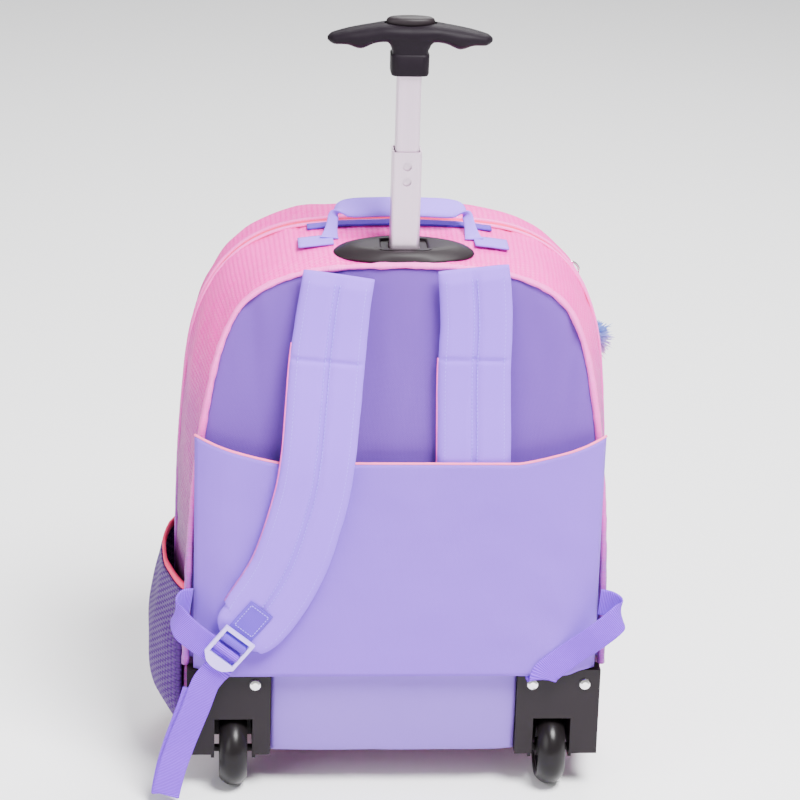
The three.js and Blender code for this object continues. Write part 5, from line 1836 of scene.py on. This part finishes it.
@dataclass
class Charm:
    """Fluffy pompom on its ring at the right of the zip."""

    depth: float = 78.0
    ring_up: float = 379.0
    ring_radius: float = 8.5
    wire: float = 1.0
    middle: tuple[float, float, float] = (166.0, 88.0, 318.0)
    radius: float = 18.0
    tufts: int = 900

    @staticmethod
    def ring_across() -> float:
        """Place across of the ring's middle, as the frame has it."""
        low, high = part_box("key_ring")
        return ((low[0] + high[0]) / 2 - PLACE.across) / MM

    def ring(self) -> None:
        """Wire ring through the zip's edge."""
        across = self.ring_across()
        angle = np.linspace(0, 2 * math.pi, 64, endpoint=False)
        section = tube_section(14) * self.wire
        points = []
        for a in angle:
            out = np.array([math.cos(a), 0.0, math.sin(a)])
            for u, v in section:
                points.append(np.array([across, self.depth, self.ring_up]) + out * (self.ring_radius + u)
                              + np.array([0, v, 0]))
        faces = []
        for i in range(64):
            for j in range(14):
                k, m = (i + 1) % 64, (j + 1) % 14
                faces.append((i * 14 + j, i * 14 + m, k * 14 + m, k * 14 + j))
        ring = piece("charm_ring", np.array(points), faces, slot="chrome", replaces=["key_ring"])
        mend_normals(ring)
        dress(ring, CHROME)

    def tuft(self, out: np.ndarray, rng: np.random.Generator) -> tuple[np.ndarray, list[tuple[int, ...]]]:
        """One tapered lock of fur that droops a little.

        Args:
            out: its direction.
            rng: the random numbers.

        Returns:
            Its points and faces.
        """
        side = np.cross(out, (0.3, 0.2, 0.9))
        side /= np.linalg.norm(side)
        other = np.cross(out, side)
        length = self.radius * rng.uniform(0.52, 0.68)
        lean = rng.normal(0, 0.16, 3)
        points = []
        for t, size in ((0, 1.0), (0.3, 0.95), (0.62, 0.62), (0.88, 0.28), (1, 0.06)):
            droop = np.array([0, 0, -1.6 * t * t])
            at = out * (0.42 * self.radius + length * t) + lean * length * t * t + droop
            for angle in np.linspace(0, 2 * math.pi, 5, endpoint=False):
                points.append(at + (side * math.cos(angle) + other * math.sin(angle)) * size * 0.75)
        return np.array(points), grid_faces(5, 5, looped=True)

    def make(self) -> None:
        """Builds the ring, the fur and the short cord."""
        self.ring()
        rng = np.random.default_rng(7)
        points = []
        faces = []
        for k in range(self.tufts):
            z = 1 - 2 * (k + 0.5) / self.tufts
            around = k * math.pi * (3 - math.sqrt(5))
            flat = math.sqrt(1 - z * z)
            out = np.array([flat * math.cos(around), flat * math.sin(around), z])
            out += rng.normal(0, 0.05, 3)
            out /= np.linalg.norm(out)
            made, made_faces = self.tuft(out, rng)
            first = len(points)
            points.extend(made + np.array(self.middle))
            faces += [tuple(first + c for c in face) for face in made_faces]
        head = tube_section(20)
        for k, angle in enumerate(np.linspace(-1.35, 1.35, 9)):
            for u, v in head:
                r = 0.62 * self.radius
                points.append(np.array(self.middle) + r * np.array([math.cos(angle) * u, math.cos(angle) * v,
                                                                    math.sin(angle)]))
        faces += grid_faces(9, 20, looped=True, first=len(points) - 180)
        fur = piece("pompom_fur", np.array(points), faces, slot="fur", replaces=["pompom"])
        dress(fur, FUR)
        across = self.ring_across()
        top = np.array([across, self.depth, self.ring_up - self.ring_radius - 1.2])
        path = resample(np.array([top + [0, 0, 3.4], top, top * 0.5 + np.array(self.middle) * 0.5 + [0, 0, 3],
                                  np.array(self.middle) + [0, 0, 9]]), 24)
        size = np.full(24, 2.0)
        cord = strip("pompom_cord", path, np.tile([1.0, 0.0, 0.0], (24, 1)), size, size,
                     tube_section(10), slot="fur")
        dress(cord, FUR)


@dataclass
class Trolley:
    """Finer grip and push button for the trolley tube; the tubes and the collar are the frame's own."""

    depth: float = -57.5
    top: float = 618.0
    width: float = 125.0
    high: float = 20.0
    deep: float = 28.0
    neck_foot: float = 579.0
    neck_width: float = 29.0
    neck_deep: float = 25.0
    # Share across, underside, top and depth
    rows: Rows = (
        (1.0, 0.3, 0.42, 0.12), (0.985, 0.26, 0.47, 0.28), (0.95, 0.19, 0.55, 0.5), (0.9, 0.15, 0.6, 0.65),
        (0.76, 0.14, 0.72, 0.8), (0.6, 0.0, 0.83, 0.88), (0.44, 0.2, 0.91, 0.9), (0.3, 0.26, 0.98, 0.96),
        (0.14, 0.16, 1, 1), (0, 0.12, 1, 1),
    )

    def grip(self) -> None:
        """Rounded bar with a finger swell on each side and a neck that holds the tube."""
        half = smooth(self.rows, 46)
        rows = np.concatenate([half * [-1, 1, 1, 1], (half[::-1])[1:]])
        sides = 28
        section = tube_section(sides)
        section = np.sign(section) * np.abs(section) ** 0.86
        points = []
        for across, low, high, deep in rows:
            x = across * self.width / 2 * 0.985
            bottom = self.top - self.high + low * self.high
            top = self.top - self.high + high * self.high
            for u, v in section:
                height = (bottom + top) / 2 + v * (top - bottom) / 2
                points.append((x, self.depth + u * deep * self.deep / 2, height))
        faces = grid_faces(len(rows), sides, looped=True)
        faces += [tuple(range(sides))[::-1], tuple(range((len(rows) - 1) * sides, len(rows) * sides))]
        grip = piece(
            "grip_bar", np.array(points), faces, body="upper_stage", slot="black_plastic", replaces=["grip"]
        )
        mend_normals(grip)
        combine(grip, self.ellipse(21.0, 9.6, self.top - 6.4, self.top + 6))
        combine(grip, self.neck(), "UNION")
        shade(grip, 38)
        dress(grip, GRIP_BLACK)
        self.button()

    def ellipse(self, a: float, b: float, low: float, high: float) -> bpy.types.Object:
        """Upright elliptic helper solid.

        Args:
            a: half width.
            b: half depth.
            low: its foot.
            high: its top.

        Returns:
            The helper object.
        """
        sides = 48
        section = tube_section(sides)
        points = [(u * a * 0.95, self.depth + v * b * 0.95, z) for z in (low, high) for u, v in section]
        faces = grid_faces(2, sides, looped=True)
        faces += [tuple(range(sides))[::-1], tuple(range(sides, 2 * sides))]
        return cutter("ellipse", points, faces)

    def neck(self) -> bpy.types.Object:
        """Rounded neck, flared into the bar, hollow round the tube.

        Returns:
            The helper object.
        """
        sides = 40
        section = tube_section(sides)
        square = np.sign(section) * np.abs(section) ** 0.42
        points = []
        rows = (
            (0, 0.95), (0.05, 0.99), (0.5, 1.0), (0.54, 0.93),
            (0.62, 0.94), (0.78, 1.08), (0.9, 1.36), (1.0, 1.7),
        )
        inside = 9.4
        for up, grow in rows:
            z = self.neck_foot + up * (self.top - 9 - self.neck_foot)
            for u, v in square:
                y = self.depth + v * self.neck_deep / 2 * min(grow, 1.04)
                points.append((u * self.neck_width / 2 * grow, y, z))
        for up in (0.55, 0.0):
            z = self.neck_foot + up * (self.top - 9 - self.neck_foot)
            for u, v in square:
                points.append((u * inside, self.depth + v * inside, z))
        count = len(rows) + 2
        last = (count - 1) * sides
        outer = len(rows) * sides
        faces = [f for f in grid_faces(count, sides, looped=True) if not self.crosses(f, len(rows), sides)]
        faces += [(k, (k + 1) % sides, last + (k + 1) % sides, last + k) for k in range(sides)]
        faces += [tuple(range(outer - sides, outer)), tuple(range(outer, outer + sides))]
        return cutter("neck", points, faces)

    @staticmethod
    def crosses(face: tuple[int, ...], rows: int, columns: int) -> bool:
        """Whether a quad would join the outside's last ring to the bore's first."""
        return min(face) < rows * columns <= max(face)

    def button(self) -> None:
        """Oval push button with a crowned top."""
        foot = self.top - 2.7
        rows = ((0.0, 1.0), (3.6, 0.99), (5.2, 0.95), (6.2, 0.86), (6.7, 0.6), (6.8, 0.02))
        section = tube_section(48)
        points = [(u * 18.4 * g, self.depth + v * 8.0 * g, foot + z) for z, g in rows for u, v in section]
        faces = grid_faces(len(rows), 48, looped=True)
        faces += [tuple(range(48))[::-1], tuple(range((len(rows) - 1) * 48, len(rows) * 48))]
        button = piece("grip_button_cap", np.array(points), faces, body="button", slot="black_plastic",
                       replaces=["grip_button"])
        mend_normals(button)
        dress(button, BLACK)

    def collar(self) -> None:
        """Oval collar that hugs the crown, with a well that the tube comes out of."""
        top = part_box("collar")[1][2] / MM
        angle = np.linspace(0, 2 * math.pi, 96, endpoint=False)
        cos, sin = np.cos(angle), np.sin(angle)
        rings = []
        plate = ((0.97, -1.0), (1.0, 0.3), (0.995, 1.2), (0.965, 2.2), (0.9, 3.0), (0.78, 3.4), (0.6, 3.5))
        for share, rise in plate:
            x, y = cos * 54 * share, self.depth + sin * 24.5 * share
            z = np.array([BODY.crown(a, b) for a, b in zip(x, y)]) + 0.6 + rise
            rings.append(np.stack([x, y, z + (top - z) * float(step(0.95, 0.72, share))], axis=1))
        square = [np.sign(t) * np.abs(t) ** 0.3 for t in (cos, sin)]
        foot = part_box("tube_sleeve")[1][2] / MM + 1.6
        for a, b, z in ((19.4, 16.1, top - 0.1), (18.1, 15.0, top - 0.5), (17.6, 14.6, top - 1.4),
                        (17.6, 14.6, foot), (12.1, 12.1, foot - 0.1)):
            rings.append(np.stack([square[0] * a, self.depth + square[1] * b, np.full(96, z)], axis=1))
        grid = np.array(rings)
        collar = piece("collar_oval", grid.reshape(-1, 3), grid_faces(len(rings), 96, looped=True),
                       slot="black_plastic", replaces=["collar"])
        mend_normals(collar)
        thick = collar.modifiers.new("wall", "SOLIDIFY")
        thick.thickness = 1.0 * MM
        thick.offset = -1
        settle(collar)
        shade(collar, 50)
        dress(collar, BLACK)

    def make(self) -> None:
        """Builds the grip and the collar and dresses the tubes."""
        self.grip()
        self.collar()
        for name in ("lower_tube", "upper_tube", "tube_sleeve"):
            bevel(name, 0.35, 2)
            dress(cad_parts[name], TUBE)


def shade(thing: bpy.types.Object, degrees: float) -> None:
    """Smooth shading with edges sharper than an angle kept crisp.

    Args:
        thing: the piece.
        degrees: widest angle that is still smooth.
    """
    thing.data.polygons.foreach_set("use_smooth", [True] * len(thing.data.polygons))
    work = bmesh.new()
    work.from_mesh(thing.data)
    limit = math.radians(degrees)
    for edge in work.edges:
        if len(edge.link_faces) == 2:
            edge.smooth = edge.calc_face_angle() < limit
    work.to_mesh(thing.data)
    work.free()


def bevel(name: str, width: float, segments: int) -> None:
    """Rounds the edges of one of the frame's own nodes.

    Args:
        name: the node's name.
        width: width in millimetres.
        segments: steps of the curve.
    """
    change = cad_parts[name].modifiers.new("bevel", "BEVEL")
    change.width = width * MM
    change.segments = segments
    change.limit_method = "ANGLE"
    change.angle_limit = math.radians(34)
    change.harden_normals = False


def turned(profile: Rows, middle: Point, sides: int) -> tuple[np.ndarray, list[tuple[int, ...]]]:
    """Ring turned about a line along X.

    Args:
        profile: closed profile of radius and place along X.
        middle: centre in the bag's frame.
        sides: steps round the line.

    Returns:
        Its points and faces.
    """
    angle = np.linspace(0, 2 * math.pi, sides, endpoint=False)
    points = [
        (middle[0] + x, middle[1] + r * math.cos(a), middle[2] + r * math.sin(a))
        for a in angle
        for r, x in profile
    ]
    count = len(profile)
    faces = [
        (
            i * count + j,
            i * count + (j + 1) % count,
            (i + 1) % sides * count + (j + 1) % count,
            (i + 1) % sides * count + j,
        )
        for i in range(sides)
        for j in range(count)
    ]
    return np.array(points), faces


@dataclass
class Wheels:
    """Two wheels with round-treaded tyres, their brackets, rivets and plain front feet."""

    track: float = 253.0
    depth: float = -82.0
    up: float = 30.0
    radius: float = 30.0
    width: float = 22.0
    hub_radius: float = 20.0
    axle: float = 3.15

    def tyre(self, side: int, word: str) -> None:
        """One tyre with a rounded tread.

        Args:
            side: -1 for the left and 1 for the right.
            word: left or right, as the names have it.
        """
        half = self.width / 2
        tread = [(self.radius * (1 - 0.2 * abs(t) ** 2.2), t * half * 0.97) for t in np.linspace(-1, 1, 21)]
        seat = self.hub_radius
        wall = [(seat + 3, half), (seat + 1.2, half * 0.96), (seat, half * 0.84),
                (seat, -half * 0.84), (seat + 1.2, -half * 0.96), (seat + 3, -half)]
        shoulder = 0.8 * self.radius - 0.6
        points, faces = turned([*tread, (shoulder, half), *wall, (shoulder, -half)],
                               (side * self.track / 2, self.depth, self.up), 96)
        tyre = piece(f"tyre_{word}_rubber", points, faces, body=f"wheel_{word}", slot="wheel_rubber",
                     replaces=[f"tyre_{word}"])
        mend_normals(tyre)
        shade(tyre, 40)
        dress(tyre, RUBBER)

    def hub(self, side: int, word: str) -> None:
        """One hub with a raised boss and a raised rim.

        Args:
            side: -1 for the left and 1 for the right.
            word: left or right, as the names have it.
        """
        half = self.width / 2
        edge = self.hub_radius - 0.3
        one_side = [
            (self.axle, 1.0), (6.6, 1.0), (7.2, 0.94), (7.8, 0.6), (edge - 3.4, 0.6), (edge - 2.4, 0.8),
            (edge, 0.84),
        ]
        profile = [(r, -half * x) for r, x in one_side] + [(r, half * x) for r, x in one_side[::-1]]
        points, faces = turned(profile, (side * self.track / 2, self.depth, self.up), 72)
        hub = piece(
            f"hub_{word}_disc", points, faces,
            body=f"wheel_{word}", slot="wheel_hub", replaces=[f"hub_{word}"],
        )
        mend_normals(hub)
        shade(hub, 30)
        dress(hub, HUB_BLACK)

    def make(self) -> None:
        """Builds the wheels and dresses what holds them."""
        for side, word in ((-1, "left"), (1, "right")):
            self.tyre(side, word)
            self.hub(side, word)
            bevel(f"bracket_{word}", 1.1, 3)
            dress(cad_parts[f"bracket_{word}"], BLACK)
            dress(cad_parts[f"foot_{word}"], BLACK)
            bevel(f"foot_{word}", 1.5, 3)
            dress(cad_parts[f"wheel_axle_{word}"], BLACK)
            for place in ("inner", "outer"):
                dress(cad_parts[f"rivet_{place}_{word}"], CHROME)
                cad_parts[f"rivet_{place}_{word}"].data.shade_smooth()
        dress(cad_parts["strap_buckle"], LILAC)
        bevel("strap_buckle", 0.5, 3)


@dataclass(frozen=True)
class Lamp:
    """One soft studio lamp, placed round the bag."""

    name: str
    azimuth: float
    elevation: float
    distance: float
    size: float
    power: float

    def make(self) -> None:
        """Adds the lamp, aimed at the bag's middle."""
        light = bpy.data.lights.new(self.name, "AREA")
        light.energy = self.power
        light.size = self.size
        light.shape = "DISK"
        a, e = math.radians(self.azimuth), math.radians(self.elevation)
        way = Vector((math.sin(a) * math.cos(e), -math.cos(a) * math.cos(e), math.sin(e)))
        target = PLACE.point(0, 0, 260)
        lamp = bpy.data.objects.new(self.name, light)
        lamp.location = target + way * self.distance
        lamp.rotation_euler = (target - lamp.location).to_track_quat("-Z", "Y").to_euler()
        bpy.context.scene.collection.objects.link(lamp)


@dataclass
class Studio:
    """Pale floor, soft light and the camera of the photograph."""

    eye: tuple[float, float, float] = (-0.1652, -2.2492, 1.1508)
    forward: tuple[float, float, float] = (0.0688, 0.9372, -0.342)
    upward: tuple[float, float, float] = (-0.0045, 0.3431, 0.9393)
    lens: float = 136.29
    shift: tuple[float, float] = (0.0063, -0.0505)
    lamps: Sequence[Lamp] = field(
        default_factory=lambda: (
            Lamp("key", 30, 58, 2.3, 1.0, 185),
            Lamp("fill", -52, 24, 2.6, 1.9, 42),
            Lamp("back", 165, 50, 2.4, 1.4, 60),
        )
    )

    def camera(self) -> None:
        """Camera matched to the photograph."""
        lens = bpy.data.cameras.new("photo_camera")
        lens.lens = self.lens
        lens.sensor_width = 36.0
        lens.shift_x, lens.shift_y = self.shift
        lens.clip_end = 20.0
        camera = bpy.data.objects.new("photo_camera", lens)
        look = Vector(self.forward).normalized()
        up = Vector(self.upward)
        right = look.cross(up).normalized()
        up = right.cross(look)
        turn = Matrix((right, up, -look)).transposed()
        camera.matrix_world = Matrix.Translation(
            Vector(self.eye) + Vector((PLACE.across, PLACE.depth, 0))
        ) @ turn.to_4x4()
        bpy.context.scene.collection.objects.link(camera)
        bpy.context.scene.camera = camera

    def floor(self) -> None:
        """Wide pale floor that fades into the background."""
        mesh = bpy.data.meshes.new("floor")
        mesh.from_pydata([(-7, -7, 0), (7, -7, 0), (7, 9, 0), (-7, 9, 0)], [], [(0, 1, 2, 3)])
        ground = bpy.data.objects.new("floor", mesh)
        ground.location.z = -0.0004
        graph = Graph("floor_pale")
        graph.put(Base_Color=(0.93, 0.93, 0.94, 1.0), Roughness=0.8, Specular_IOR_Level=0.1)
        mesh.materials.append(graph.material)
        bpy.context.scene.collection.objects.link(ground)

    def world(self) -> None:
        """Even white surroundings."""
        world = bpy.data.worlds.new("studio")
        world.use_nodes = True
        back = world.node_tree.nodes["Background"]
        back.inputs["Color"].default_value = (1.0, 1.0, 1.0, 1.0)
        back.inputs["Strength"].default_value = 0.62
        bpy.context.scene.world = world

    def make(self) -> None:
        """Sets up the whole studio."""
        self.camera()
        self.floor()
        self.world()
        for lamp in self.lamps:
            lamp.make()


def main() -> None:
    """Builds the backpack."""
    logging.basicConfig(level=logging.INFO)
    Studio().make()
    parts = (
        Shell(), BackPanel(), StowCover(), Straps(), Webbing(), SidePocket(),
        Crown(), Charm(), Trolley(), Wheels(),
    )
    for part in parts:
        LOG.info("building %s", type(part).__name__)
        part.make()


if __name__ == "__main__":
    main()
